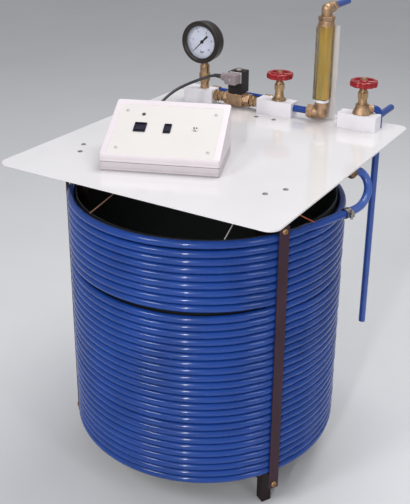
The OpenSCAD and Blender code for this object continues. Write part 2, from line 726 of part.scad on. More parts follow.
module gauge_case() color("#2d2828") from_axis() at_gauge() difference() {
    translate([0, 0, -gauge_depth / 2]) cylinder(h = gauge_depth / 2 + case_lip, r = case_r);
    difference() {
        translate([0, 0, case_wall - gauge_depth / 2]) cylinder(h = gauge_depth, r = case_r - 4);
        translate([0, 0, -gauge_depth / 2]) cylinder(h = case_wall + 6, r = 6);
    }
    translate([0, 0, dial_z]) cylinder(h = gauge_depth, r = case_r - 2.7);
    translate([0, 0, window_z]) cylinder(h = gauge_depth, r = case_r - 2);
    translate([0, 0, 1 - gauge_depth / 2]) cylinder(h = gauge_depth, r = arbor_r + run);
    translate([0, -case_r - 5, -gauge_forward]) rotate([-90, 0, 0]) cylinder(h = 14, r = 7 + gap);
}
module gauge_bezel() color("#2d2828") from_axis() at_gauge() rotate_extrude($fn = 96)
    polygon([[dial_d / 2, case_lip + 2.6], [dial_d / 2 + 0.8, case_lip + gap],
        [case_r + gap, case_lip + gap], [case_r + gap, case_lip - bezel_skirt],
        [gauge_d / 2, case_lip - bezel_skirt],
        [gauge_d / 2, case_lip + 3.5], [gauge_d / 2 - 2, case_lip + 5.5],
        [gauge_d / 2 - 5, case_lip + 5.5]]);
module gauge_dial() color("#d4d6de") from_axis() at_gauge() translate([0, 0, dial_z + gap])
    ring(case_r - 3, 3, 1);
module gauge_window() color("#dde8ee", 0.35) from_axis() at_gauge()
    translate([0, 0, window_z + gap]) cylinder(h = case_lip - window_z - gap, r = case_r - 2.3);
module gauge_needle() color("#1d1d1f") from_axis() at_gauge() rotate([0, 0, -needle_rest]) {
    translate([0, 0, 1.5 - gauge_depth / 2])
        cylinder(h = gauge_depth / 2 + dial_z + 3.4 - 1.5, r = arbor_r);
    translate([0, 0, dial_z + 2]) cylinder(h = 1.4, r = 4);
    translate([0, 0, dial_z + 2]) linear_extrude(0.8)
        polygon([[-2.6, -needle_l * 0.62], [2.6, -needle_l * 0.62], [1.6, 0], [0.5, needle_l],
            [-0.5, needle_l], [-1.6, 0]]);
}
module bourdon_tube() color("#c69a5a") from_axis() at_gauge() translate([0, 0, bourdon_z])
    rotate([0, 0, bourdon_start]) rotate_extrude(angle = 265) translate([bourdon_r, 0])
        circle(r = 3);

// Solenoid valve

module solenoid_body() color("#c69a5a") from_axis() difference() {
    union() {
        on_line(valve_x - valve_l / 2, line_z) along_x(valve_l, 12);
        for (side = [-1, 1]) on_line(valve_x + side * (valve_l / 2 - 6) - 6, line_z)
            rotate([0, 90, 0]) rotate([0, 0, 30]) hexagon(27, 12);
        on_line(valve_x, line_z - 14) slab(36, 30, 28, 4);
    }
    on_line(valve_x - valve_l, line_z) along_x(2 * valve_l, bore_r);
    on_line(valve_x, line_z - bore_r) cylinder(h = 60, r = plunger_r + run);
}
module solenoid_core() color("#c9c9cc") from_axis() difference() {
    union() {
        on_line(valve_x, line_z + 14 + gap) cylinder(h = magnet_z - line_z - 14 - 2 * gap, r = 14);
        on_line(valve_x, line_z + 14 + gap)
            cylinder(h = magnet_z + magnet_h + 5 - line_z - 14, r = core_r);
        on_line(valve_x, magnet_z + magnet_h + gap) hexagon(17, 4);
    }
    on_line(valve_x, line_z) cylinder(h = core_stop - line_z, r = plunger_r + run);
}
module solenoid_coil() color("#322d2e") from_axis() difference() {
    on_line(valve_x, magnet_z) slab(magnet_w, magnet_d, magnet_h, 3);
    on_line(valve_x, magnet_z - 1) cylinder(h = magnet_h + 2, r = core_r + gap);
}
module solenoid_plunger() color("#b9b9bd") from_axis()
    on_line(valve_x, line_z - bore_r + gap) cylinder(h = plunger_top - line_z + bore_r - gap, r = plunger_r);
module plunger_spring() color("#9a9a9c") from_axis() on_line(valve_x, plunger_top)
    ring(plunger_r - 0.4, plunger_r - 1.6, core_stop - plunger_top);
module din_connector() color("#a59ba0") from_axis()
    on_line(valve_x + 3, magnet_z + magnet_h - plug_h / 2) translate([0, -magnet_d / 2, 0]) {
        rotate([90, 0, 0]) slab(plug_w + 2, plug_h, 1.6, 2);
        translate([0, -1.6, 0]) rotate([90, 0, 0]) slab(plug_w, plug_h, plug_l - 1.6, 3);
        translate([0, -plug_l / 2, 0]) rotate([0, -90, 0]) {
            cylinder(h = plug_w / 2 + 10, r = 6.5);
            translate([0, 0, plug_w / 2 + 4]) hexagon(15, 8);
        }
    }
module solenoid_cable() color("#28262a") from_axis() translate([0, 0, plate_top])
    polyhedron(sweep_points(cable_route, cable_d / 2, 8), tube_faces(len(cable_route), 8));

// Hand valves

module gate(z) difference() {
    translate([0, 0, z]) cylinder(h = gate_h, r = gate_d / 2);
    translate([0, 0, z + 2]) cylinder(h = gate_h, r = stem_d / 2 + run);
}
module stem(z, gland_top) {
    translate([0, 0, z + gate_h - 3])
        cylinder(h = gland_top + wheel_rise + 12 - z - gate_h + 3, r = stem_d / 2);
    translate([0, 0, gland_top + wheel_rise + 7 + gap]) hexagon(13, 4.5);
}
// The neck and gland nut, with the stem's bore and room for the lifted gate
module neck(z, gate_z) difference() {
    union() {
        children();
        translate([0, 0, z]) cylinder(h = neck_h, r = 9.5);
        translate([0, 0, z + neck_h]) hexagon(24, gland_h - 3);
        translate([0, 0, z + neck_h + gland_h - 3]) cylinder(h = 3, r1 = 10.5, r2 = 8.5);
    }
    translate([0, 0, -1]) cylinder(h = z + neck_h + gland_h + 2, r = stem_d / 2 + run);
    translate([0, 0, -1]) cylinder(h = gate_z + gate_h + gate_lift + 1.5, r = gate_d / 2 + run);
}
module rim() {
    bevel = rim_t / 3;
    polygon([for (side = [-1, 1], p = [[rim_t / 2, bevel - rim_h / 2], [rim_t / 2 - bevel, -rim_h / 2],
        [bevel - rim_t / 2, -rim_h / 2], [-rim_t / 2, bevel - rim_h / 2]]) -side * p]);
}
module handwheel(gland_top) translate([0, 0, gland_top + wheel_rise]) difference() {
    union() {
        difference() {
            rotate_extrude($fn = 72) translate([wheel_d / 2 - rim_t / 2, 0]) rim();
            for (turn = [0 : 360 / wheel_grooves : 359]) rotate([0, 0, turn])
                translate([wheel_d / 2 + 2.2, 0, -rim_h]) cylinder(h = 2 * rim_h, r = 4);
        }
        translate([0, 0, -7]) cylinder(h = 14, r = 8);
        for (turn = [0 : 72 : 359]) rotate([0, 0, turn]) along_x(wheel_d / 2 - rim_t / 2, 3.4);
    }
    translate([0, 0, -8]) cylinder(h = 16, r = stem_d / 2 + run);
}

module centre_bonnet() color("#c69a5a") from_axis() on_line(centre_x, 0)
    neck(centre_neck, gate_foot + gap) translate([0, 0, block_h]) cylinder(h = flange_h, r = 17);
module centre_stem() color("#c9c9cc") from_axis() on_line(centre_x, 0)
    stem(gate_foot + gap, centre_neck + neck_h + gland_h);
module centre_wheel() color("#b8323a") from_axis() on_line(centre_x, 0)
    handwheel(centre_neck + neck_h + gland_h);
module centre_gate() color("#c69a5a") from_axis() on_line(centre_x, 0) gate(gate_foot + gap);

module right_body() color("#c69a5a") from_axis() on_line(right_x, 0) difference() {
    union() {
        translate([0, 0, block_h]) cylinder(h = 4, r = 17.5);
        translate([0, 0, block_h + 4]) hexagon(32, side_boss_h - 4 - gap);
        translate([0, 0, drain_rise]) rotate([0, 0, drain_turn]) along_x(boss_reach, drain_r + 2.6);
    }
    translate([0, 0, block_h - 1]) cylinder(h = side_boss_h + 2, r = gate_d / 2 + run);
    translate([0, 0, drain_rise]) rotate([0, 0, drain_turn]) along_x(boss_reach + 1, 4.5);
    translate([0, 0, drain_rise]) rotate([0, 0, drain_turn]) translate([boss_reach - 7, 0, 0])
        along_x(8, drain_r + gap);
}
module right_bonnet() color("#c69a5a") from_axis() on_line(right_x, 0)
    difference() {
        neck(right_neck, block_h + gap) translate([0, 0, right_neck]) cylinder(h = 3, r = 14);
        translate([0, 0, -1]) cylinder(h = right_neck + 1, r = 30);
    }
module right_stem() color("#c9c9cc") from_axis() on_line(right_x, 0)
    stem(block_h + gap, right_neck + neck_h + gland_h);
module right_wheel() color("#b8323a") from_axis() on_line(right_x, 0)
    handwheel(right_neck + neck_h + gland_h);
module right_gate() color("#c69a5a") from_axis() on_line(right_x, 0) gate(block_h + gap);

// Flow meter

module flow_elbows() color("#c69a5a") from_axis() {
    on_line(flow_x, 0) difference() {
        union() {
            translate([0, 0, line_z]) sphere(r = 11);
            translate([-meter_arm, 0, line_z]) along_x(meter_arm, 10);
            translate([0, 0, line_z]) cylinder(h = meter_z - 7 - line_z, r = 10);
            translate([0, 0, meter_z - 16]) hexagon(24, 8);
            translate([0, 0, meter_z - 7]) cylinder(h = 7 - gap, r = meter_w / 2);
        }
        translate([-meter_arm - 1, 0, line_z]) along_x(9, tube_r + gap);
        translate([-meter_arm, 0, line_z]) along_x(meter_arm, 5);
        translate([0, 0, line_z]) cylinder(h = meter_z, r = 5);
    }
    on_line(flow_x, 0) difference() {
        union() {
            translate([0, 0, meter_z + meter_h + gap]) cylinder(h = 10 - gap, r = 19);
            translate([0, 0, meter_z + meter_h + 10]) hexagon(34, 12);
            translate([0, 0, meter_z + meter_h + 22]) cylinder(h = outlet_z - meter_z - meter_h - 22, r = 11);
            translate([0, 0, outlet_z]) sphere(r = 11);
            translate([0, 0, outlet_z]) along_y(outlet_arm, 10);
            translate([0, outlet_arm - 9, outlet_z]) rotate([-90, 0, 0]) hexagon(23, 9);
        }
        translate([0, 0, meter_z + meter_h]) cylinder(h = outlet_z - meter_z - meter_h, r = 5);
        translate([0, 0, outlet_z]) along_y(outlet_arm + 1, 5);
        translate([0, outlet_arm - 7, outlet_z]) along_y(8, tube_r + gap);
    }
}
module flow_block() color("#d9c98a", 0.5) from_axis() on_line(flow_x, meter_z) difference() {
    slab(meter_w, meter_w, meter_h, 1);
    translate([0, 0, -1]) cylinder(h = meter_h + 2, r = meter_tube_d / 2 + gap);
}
module flow_tube() color("#a8853c", 0.7) from_axis() on_line(flow_x, meter_z)
    ring(meter_tube_d / 2, 6, meter_h);
module flow_float() color("#c9c9cc") from_axis() on_line(flow_x, meter_z) rotate_extrude()
    polygon([[0, 0], [float_d / 2, 0], [float_d / 2, 6], [2, 14], [1.2, 24], [0, 24]]);
module flow_bracket() color("#ebe9ec") from_axis() on_line(flow_x - 4, 0)
    translate([0, meter_w / 2 + 8, 0]) {
        difference() {
            union() {
                translate([-back_w / 2, 0, 0]) cube([back_w, back_t, meter_z + meter_h - 2]);
                translate([-back_w / 2, 0, 0]) cube([back_w, 22, back_t]);
                for (z = [meter_z + 20, meter_z + meter_h - 37]) translate([4, gap - 8, z]) along_y(8, 5);
            }
            for (side = [-1, 1]) translate([side * 15, 14, -1]) cylinder(h = back_t + 2, r = 2.3);
        }
        for (side = [-1, 1]) translate([side * 15, 14, 0]) {
            translate([0, 0, back_t]) cylinder(h = 2.5, r = 4);
            cylinder(h = back_t + 1, r = 2);
        }
    }

// Control box, drawn with X to the right, Y to the back and Z up from the plate

module at_box() translate([box_x, box_y, plate_top]) rotate([0, 0, box_turn]) children();
module on_panel(u = 0, v = 0) at_box() translate([-box_w / 2, -box_d / 2, box_front])
    rotate([box_tilt, 0, 0]) translate([u, v, 0]) children();
module wedge(in, foot, top) translate([-box_w / 2 + in, -box_d / 2, 0]) rotate([90, 0, 90])
    linear_extrude(box_w - 2 * in) polygon([[in, foot],
        [in, box_front + in * tan(box_tilt) - top / cos(box_tilt)],
        [box_d - in, box_back - in * tan(box_tilt) - top / cos(box_tilt)], [box_d - in, foot]]);

module box_base() color("#cfc6cc") from_axis() at_box() difference() {
    translate([-box_w / 2, -box_d / 2, 0]) cube([box_w, box_d, tray_h]);
    translate([-box_w / 2 + box_wall, -box_d / 2 + box_wall, box_wall])
        cube([box_w - 2 * box_wall, box_d - 2 * box_wall, tray_h]);
}
module box_lid() color("#e6e2e4") from_axis() difference() {
    at_box() difference() {
        wedge(0, tray_h + gap, 0);
        wedge(box_wall, tray_h - 1, box_wall + panel_t + 1);
        translate([gland_x, box_d / 2 - box_wall - 1, gland_z]) along_y(box_wall + 2, 6 + gap);
        translate([55, box_d / 2 - box_wall - 1, 32]) cube([28, box_wall + 2, 20]);
    }
    on_panel(panel_in[0] - gap, panel_in[1] - gap) translate([0, 0, -panel_t - 1])
        cube([panel_w + 2 * gap, panel_l + 2 * gap, panel_t + 2]);
    control_holes(gap);
}
module box_panel() color("#efece8") from_axis() difference() {
    on_panel(panel_in[0], panel_in[1]) translate([0, 0, -panel_t - 1 + gap])
        cube([panel_w, panel_l, panel_t]);
    control_holes(gap);
}
module control_holes(room) {
    for (s = switches) on_panel(s[0], s[1]) translate([0, 0, -6])
        cube([s[2] - 2 + 2 * room, s[3] - 2 + 2 * room, 16], center = true);
    on_panel(lamp_at[0], lamp_at[1]) translate([0, 0, -12]) cylinder(h = 16, r = lamp_r + room);
    on_panel(socket_at[0], socket_at[1]) translate([0, 0, -12]) cylinder(h = 16, r = 5 + room);
    for (p = panel_screw_at) on_panel(p[0], p[1]) translate([0, 0, -9]) cylinder(h = 10, r = 1.7);
}
module panel_screws() color("#6a5e5c") from_axis() for (p = panel_screw_at) on_panel(p[0], p[1]) {
    translate([0, 0, panel_top]) cylinder(h = 1.6, r1 = 3, r2 = 2.4);
    translate([0, 0, panel_top - 6]) cylinder(h = 6, r = 1.7 - run);
}
module switch_housings() color("#231f33") from_axis() for (s = switches) on_panel(s[0], s[1])
    difference() {
        union() {
            translate([0, 0, panel_top + gap]) slab(s[2], s[3], 1.6, 1.5);
            translate([0, 0, -15]) slab(s[2] - 2, s[3] - 2, 15 + panel_top + gap, 0.5);
        }
        translate([0, 0, -13]) slab(s[4] + 2 * gap, s[5] + 2, 20, 0.5);
        translate([-s[4] / 2 - 1.4, 0, pivot_z]) along_x(s[4] + 2.8, 1.5 + run);
    }
module rocker(s) on_panel(s[0], s[1]) translate([0, 0, pivot_z]) rotate([rocker_tilt, 0, 0]) {
    translate([-s[4] / 2, 0, 0]) rotate([90, 0, 90]) linear_extrude(s[4]) polygon([
        [-s[5] / 2, 4.6], [0, 3.6], [s[5] / 2, 4.6], [s[5] / 2, 0.5], [5, -5], [-5, -5],
        [-s[5] / 2, 0.5]]);
    translate([-s[4] / 2 - 1.1, 0, 0]) along_x(s[4] + 2.2, 1.5);
}
module power_switch() color("#2d2940") from_axis() rocker(switches[0]);
module valve_switch() color("#2d2940") from_axis() rocker(switches[1]);
module indicator_lamp() color("#4a4a50") from_axis() on_panel(lamp_at[0], lamp_at[1]) {
    translate([0, 0, -10]) cylinder(h = 10 + panel_top + gap, r = lamp_r);
    translate([0, 0, panel_top + gap]) intersection() {
        cylinder(h = 2.5, r = lamp_r + 0.8);
        translate([0, 0, -1.8]) sphere(r = 4.3);
    }
}
module box_connectors() color("#2a2a2e") from_axis() {
    on_panel(socket_at[0], socket_at[1]) difference() {
        union() {
            translate([0, 0, -10]) cylinder(h = 10 + panel_top + gap, r = 5);
            translate([0, 0, panel_top + gap]) cylinder(h = 1.6, r = 6);
        }
        for (side = [-1, 1]) translate([side * 2.2, 0, -4]) cylinder(h = 10, r = 1.1);
    }
    at_box() {
        translate([gland_x, box_d / 2 - box_wall - 4, gland_z]) along_y(box_wall + 4 + gap, 6);
        translate([gland_x, box_d / 2 + gap, gland_z]) rotate([-90, 0, 0]) hexagon(17, 7);
        translate([gland_x, box_d / 2 + gap, gland_z]) along_y(gland_l - gap, 5);
        difference() {
            union() {
                translate([55 + gap, box_d / 2 - 16, 32 + gap])
                    cube([28 - 2 * gap, 16 + gap, 20 - 2 * gap]);
                translate([51, box_d / 2 + gap, 29]) cube([36, 2.5, 26]);
            }
            translate([58, box_d / 2 - 13, 35]) cube([22, 20, 14]);
        }
        for (x = [65, 69, 73]) translate([x - 0.8, box_d / 2 - 13, 40]) cube([1.6, 12, 4]);
    }
}

leg_left();
leg_right();
leg_rear();
leg_feet();
frame_rails();
coil_straps();
strap_blocks();
strap_bolts();
coil_liner();
coil_tube();
coil_ties();
hose_clamp();
lead_hose();
tube_fittings();
riser_pipe();
feed_pipe();
link_pipes();
drain_hose();
pipe_stubs();
top_plate();
plate_screws();
mounting_blocks();
gauge_stem();
gauge_case();
gauge_bezel();
gauge_dial();
gauge_window();
gauge_needle();
bourdon_tube();
solenoid_body();
solenoid_core();
solenoid_coil();
solenoid_plunger();
plunger_spring();
din_connector();
solenoid_cable();
centre_bonnet();
centre_stem();
centre_wheel();
centre_gate();
right_body();
right_bonnet();
right_stem();
right_wheel();
right_gate();
flow_elbows();
flow_block();
flow_tube();
flow_float();
flow_bracket();
box_base();
box_lid();
box_panel();
panel_screws();
switch_housings();
power_switch();
valve_switch();
indicator_lamp();
box_connectors();
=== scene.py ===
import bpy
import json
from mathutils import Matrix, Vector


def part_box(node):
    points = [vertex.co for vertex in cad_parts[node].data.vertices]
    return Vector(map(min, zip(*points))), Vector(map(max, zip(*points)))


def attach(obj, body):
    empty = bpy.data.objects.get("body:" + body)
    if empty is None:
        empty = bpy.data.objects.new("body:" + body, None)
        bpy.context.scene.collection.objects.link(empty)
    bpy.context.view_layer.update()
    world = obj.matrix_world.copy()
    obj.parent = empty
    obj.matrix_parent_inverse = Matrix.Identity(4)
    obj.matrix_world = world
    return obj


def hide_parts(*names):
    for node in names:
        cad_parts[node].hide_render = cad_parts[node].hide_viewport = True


bl_info = {
    "name": "Coiled pipe rig", "version": (1, 0, 0), "blender": (4, 5, 0),
    "location": "View3D > Sidebar > Pipe rig",
    "description": "Dresses the packed frame of a coiled pipe rig with its finished pieces",
    "category": "Object"}

import json
import math
import random

import bmesh
import bpy
from mathutils import Matrix, Vector

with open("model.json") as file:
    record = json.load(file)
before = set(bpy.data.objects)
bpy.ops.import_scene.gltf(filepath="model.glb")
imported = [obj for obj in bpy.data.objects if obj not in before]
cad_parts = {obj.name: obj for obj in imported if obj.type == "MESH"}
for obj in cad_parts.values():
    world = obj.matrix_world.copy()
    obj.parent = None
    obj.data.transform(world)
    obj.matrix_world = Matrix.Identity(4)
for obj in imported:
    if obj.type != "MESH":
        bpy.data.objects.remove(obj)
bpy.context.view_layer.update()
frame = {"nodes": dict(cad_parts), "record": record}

# Lengths below are in millimetres on the rig's own lines: X and Y from the coil's axis, Z from
# the floor, or from the plate's top where a helper's name says so.
MM = 0.001
PLATE_LOW, PLATE_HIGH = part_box("top_plate")
AXIS = Vector((PLATE_LOW.x + 0.293, PLATE_LOW.y + 0.271, 0.0))
PLATE_TOP = PLATE_HIGH.z / MM
PLATE_UNDER = PLATE_LOW.z / MM
LINE_Y = 290.0
LINE_Z = 19.0
GAUGE = (-182.0, 284.0, 141.0)
VALVE_X = -93.0
CENTRE_X = 10.0
METER_X = 112.0
RIGHT_X = 203.0
BYPASS_Y = 326.0
OUTLET_Z = 243.0
SLOTS = {part["node"]: part["material_slot"] for part in frame["record"]["subparts"]}
BODIES = {
    node: body for body, nodes in frame["record"]["behaviour"]["bodies"].items() for node in nodes}


def place(x, y, z=0.0):
    """A point of the rig, with its height from the floor, in the frame's metres."""
    return AXIS + Vector((x, y, z)) * MM


def on_plate(x, y, z=0.0):
    """A point of the rig, with its height from the plate's top, in the frame's metres."""
    return place(x, y, PLATE_TOP + z)


def ray(turn):
    return Vector((math.cos(turn), math.sin(turn), 0))


def beside(turn):
    return Vector((-math.sin(turn), math.cos(turn), 0))


def facing(point, direction=(0, 0, 1), spin=0.0):
    """A matrix that puts a shape drawn in millimetres along +Z at a point, along a direction."""
    turn = Vector(direction).to_track_quat("Z", "Y").to_matrix().to_4x4()
    return (
        Matrix.Translation(point) @ turn @ Matrix.Rotation(math.radians(spin), 4, "Z")
        @ Matrix.Scale(MM, 4))


def upright(x, z=0.0):
    """A matrix for a shape that stands on the plate, on the line of the valves."""
    return facing(on_plate(x, LINE_Y, z))


def moved(matrix, x, y, z):
    return matrix @ Matrix.Translation((x, y, z))


# ---------------------------------------------------------------- settings


def colour(name, description, default):
    return bpy.props.FloatVectorProperty(
        name=name, description=description, default=default, subtype="COLOR", size=3, min=0, max=1)


def length(name, description, default, low, high):
    return bpy.props.FloatProperty(
        name=name, description=description, default=default, min=low, max=high, unit="LENGTH",
        subtype="DISTANCE")


class CoilSettings(bpy.types.PropertyGroup):
    tube_radius: length("Tube radius", "Outer radius of the wound tube", 0.0075, 0.005, 0.0075)
    steps: bpy.props.IntProperty(
        name="Steps", description="Straight steps in each turn", default=80, min=24, max=120)
    wide_gap: length("Wide gap", "Opening below the ninth turn", 0.0085, 0, 0.012)
    top_gap: length("Top gap", "Opening below the first turn", 0.0021, 0, 0.005)
    low_gap: length("Low gap", "Opening below the twenty-fourth turn", 0.0013, 0, 0.005)
    kink: length("Kink depth", "How far each turn is drawn in beside a strap", 0.0019, 0, 0.003)


class EdgeSettings(bpy.types.PropertyGroup):
    plate: length("Plate edge", "Rounding of the white plate's edges", 0.0009, 0, 0.0014)
    lid: length("Lid edge", "Rounding of the control box's lid", 0.0022, 0, 0.004)
    metal: length("Metal edge", "Rounding of the bars and the straps", 0.0007, 0, 0.002)


class PaintSettings(bpy.types.PropertyGroup):
    tube: colour("Tube", "Nylon tube", (0.011, 0.055, 0.28))
    plate: colour("Plate", "White plate", (0.75, 0.73, 0.735))
    brass: colour("Brass", "Brass fittings", (0.50, 0.33, 0.185))
    wheel: colour("Handwheel", "Red paint of the handwheels", (0.30, 0.008, 0.012))
    shell: colour("Box shell", "Shell of the control box", (0.70, 0.64, 0.66))
    face: colour("Box panel", "Panel of the control box", (0.67, 0.637, 0.61))
    frame: colour("Frame", "Legs and rails", (0.018, 0.008, 0.009))
    strap: colour("Straps", "Straps outside the coil", (0.046, 0.018, 0.030))
    fluid: colour("Tube glass", "Amber tube of the flow meter", (0.76, 0.455, 0.085))


class CameraSettings(bpy.types.PropertyGroup):
    lens: bpy.props.FloatProperty(
        name="Lens", description="Focal length", default=60.04, min=20, max=200, unit="CAMERA")
    heading: bpy.props.FloatProperty(
        name="Heading", description="Turn of the view to the left of +Y",
        default=math.radians(31.23), subtype="ANGLE")
    pitch: bpy.props.FloatProperty(
        name="Pitch", description="Fall of the view", default=math.radians(21.22), subtype="ANGLE")
    roll: bpy.props.FloatProperty(
        name="Roll", description="Turn about the view", default=math.radians(0.4), subtype="ANGLE")
    sunk: bpy.props.FloatProperty(
        name="Shift", description="Shift of the picture, as a share of its height", default=-0.1508)


def settings():
    return bpy.context.scene.pipe_rig


class RigSettings(bpy.types.PropertyGroup):
    coil: bpy.props.PointerProperty(type=CoilSettings, name="Coil", description="The coil")
    edges: bpy.props.PointerProperty(type=EdgeSettings, name="Edges", description="Edge roundings")
    paint: bpy.props.PointerProperty(type=PaintSettings, name="Paint", description="Colours")
    camera: bpy.props.PointerProperty(type=CameraSettings, name="Camera", description="The view")


# ---------------------------------------------------------------- materials

GREY = (0.5, 0.5, 0.5, 1)
EVEN = (1.0, 1.0, 1.0)


def new_group(name, result, **inputs):
    """An empty node group, its inputs as they come in, and the sockets that give its result."""
    tree = bpy.data.node_groups.new(name, "ShaderNodeTree")
    for label, value in inputs.items():
        kind = {4: "Color", 3: "Vector"}[len(value)] if isinstance(value, tuple) else "Float"
        socket = tree.interface.new_socket(
            label.replace("_", " "), in_out="INPUT", socket_type="NodeSocket" + kind)
        socket.default_value = value
    for label in result:
        kind = "Color" if label == "Color" else "Float"
        tree.interface.new_socket(label, in_out="OUTPUT", socket_type="NodeSocket" + kind)
    return tree, tree.nodes.new("NodeGroupInput").outputs, tree.nodes.new("NodeGroupOutput").inputs


def add(tree, kind, *inputs, **named):
    """A shader node. Each of its inputs, in order or by name, is a value or what feeds it; other
    names are the node's own settings."""
    made = tree.nodes.new("ShaderNode" + kind)
    for key, value in [*enumerate(inputs), *named.items()]:
        if isinstance(key, str):
            if hasattr(made, key):
                setattr(made, key, value)
                continue
            key = key.replace("_", " ")
        if isinstance(value, bpy.types.Node):
            value = value.outputs[0]
        if isinstance(value, bpy.types.NodeSocket):
            tree.links.new(value, made.inputs[key])
        else:
            made.inputs[key].default_value = value
    return made


def stretched(tree, given):
    """The place on the object, drawn out along the group's stretch."""
    where = add(tree, "TexCoord").outputs["Object"]
    return add(tree, "VectorMath", where, given["Stretch"], operation="MULTIPLY")


def drift_group(name):
    """Colour that wanders slowly over a surface between two tones."""
    tree, given, made = new_group(
        name, ["Color"], Tone=GREY, Second_tone=GREY, Scale=20.0, Low=0.4, High=0.7, Stretch=EVEN)
    noise = add(
        tree, "TexNoise", stretched(tree, given), Scale=given["Scale"], Detail=5.0, Roughness=0.6)
    mask = add(tree, "MapRange", noise, given["Low"], given["High"])
    mix = add(tree, "MixRGB", mask, given["Tone"], given["Second tone"])
    tree.links.new(mix.outputs[0], made["Color"])
    return tree


def grain_group(name):
    """Roughness and height that vary with a fine grain."""
    tree, given, made = new_group(
        name, ["Roughness", "Height"], Roughness=0.4, Spread=0.1, Scale=200.0, Stretch=EVEN)
    where = stretched(tree, given)
    fine = add(tree, "TexNoise", where, Scale=given["Scale"], Detail=4.0)
    wide = add(tree, "TexNoise", where, Scale=18.0, Detail=3.0)
    centred = add(tree, "Math", wide, 0.5, operation="SUBTRACT")
    swing = add(tree, "Math", centred, given["Spread"], operation="MULTIPLY")
    total = add(tree, "Math", swing, given["Roughness"], operation="ADD")
    tree.links.new(total.outputs[0], made["Roughness"])
    tree.links.new(fine.outputs[0], made["Height"])
    return tree


def wear_group(name):
    """Another tone along the edges, broken up by noise."""
    tree, given, made = new_group(name, ["Color"], Tone=GREY, Worn_tone=GREY, Amount=0.6)
    rounded = add(tree, "Bevel", samples=4, Radius=0.0012)
    flat = add(tree, "NewGeometry").outputs["Normal"]
    same = add(tree, "VectorMath", rounded, flat, operation="DOT_PRODUCT").outputs["Value"]
    edge = add(tree, "MapRange", same, 0.995, 0.90)
    where = add(tree, "TexCoord").outputs["Object"]
    chips = add(tree, "TexNoise", where, Scale=160.0, Detail=4.0)
    broken = add(tree, "MapRange", chips, 0.42, 0.62)
    both = add(tree, "Math", edge, broken, operation="MULTIPLY")
    mask = add(tree, "Math", both, given["Amount"], operation="MULTIPLY", use_clamp=True)
    mix = add(tree, "MixRGB", mask, given["Tone"], given["Worn tone"])
    tree.links.new(mix.outputs[0], made["Color"])
    return tree


def shared(tree, name, build, **inputs):
    """A node that uses a shared group, which is made the first time."""
    group = bpy.data.node_groups.get(name) or build(name)
    return add(tree, "Group", node_tree=group, **inputs)


def finish(
        name, tone, second=0.8, drift=12.0, rough=0.4, spread=0.12, grain=400.0, bump=0.05,
        low=0.42, high=0.7, streak=EVEN, stretch=EVEN, bump_depth=0.0002, worn=None, wear=0.6,
        **shader):
    """A finish from the shared groups; the shader's own values are named with underscores."""
    if name in bpy.data.materials:
        return bpy.data.materials[name]
    material = bpy.data.materials.new(name)
    material.use_nodes = True
    tree = material.node_tree
    surface = tree.nodes["Principled BSDF"]
    for key, value in shader.items():
        surface.inputs[key.replace("_", " ")].default_value = value
    if isinstance(second, float):
        second = darker(tone, second)
    base = shared(
        tree, "Colour drift", drift_group, Tone=(*tone, 1), Second_tone=(*second, 1), Scale=drift,
        Low=low, High=high, Stretch=streak)
    if worn:
        base = shared(tree, "Edge wear", wear_group, Tone=base, Worn_tone=(*worn, 1), Amount=wear)
    graining = shared(
        tree, "Surface grain", grain_group, Roughness=rough, Spread=spread, Scale=grain,
        Stretch=stretch)
    relief = add(
        tree, "Bump", Height=graining.outputs["Height"], Strength=bump, Distance=bump_depth)
    tree.links.new(base.outputs[0], surface.inputs["Base Color"])
    tree.links.new(graining.outputs["Roughness"], surface.inputs["Roughness"])
    tree.links.new(relief.outputs[0], surface.inputs["Normal"])
    return material


def darker(tone, share):
    return tuple(share * c for c in tone)


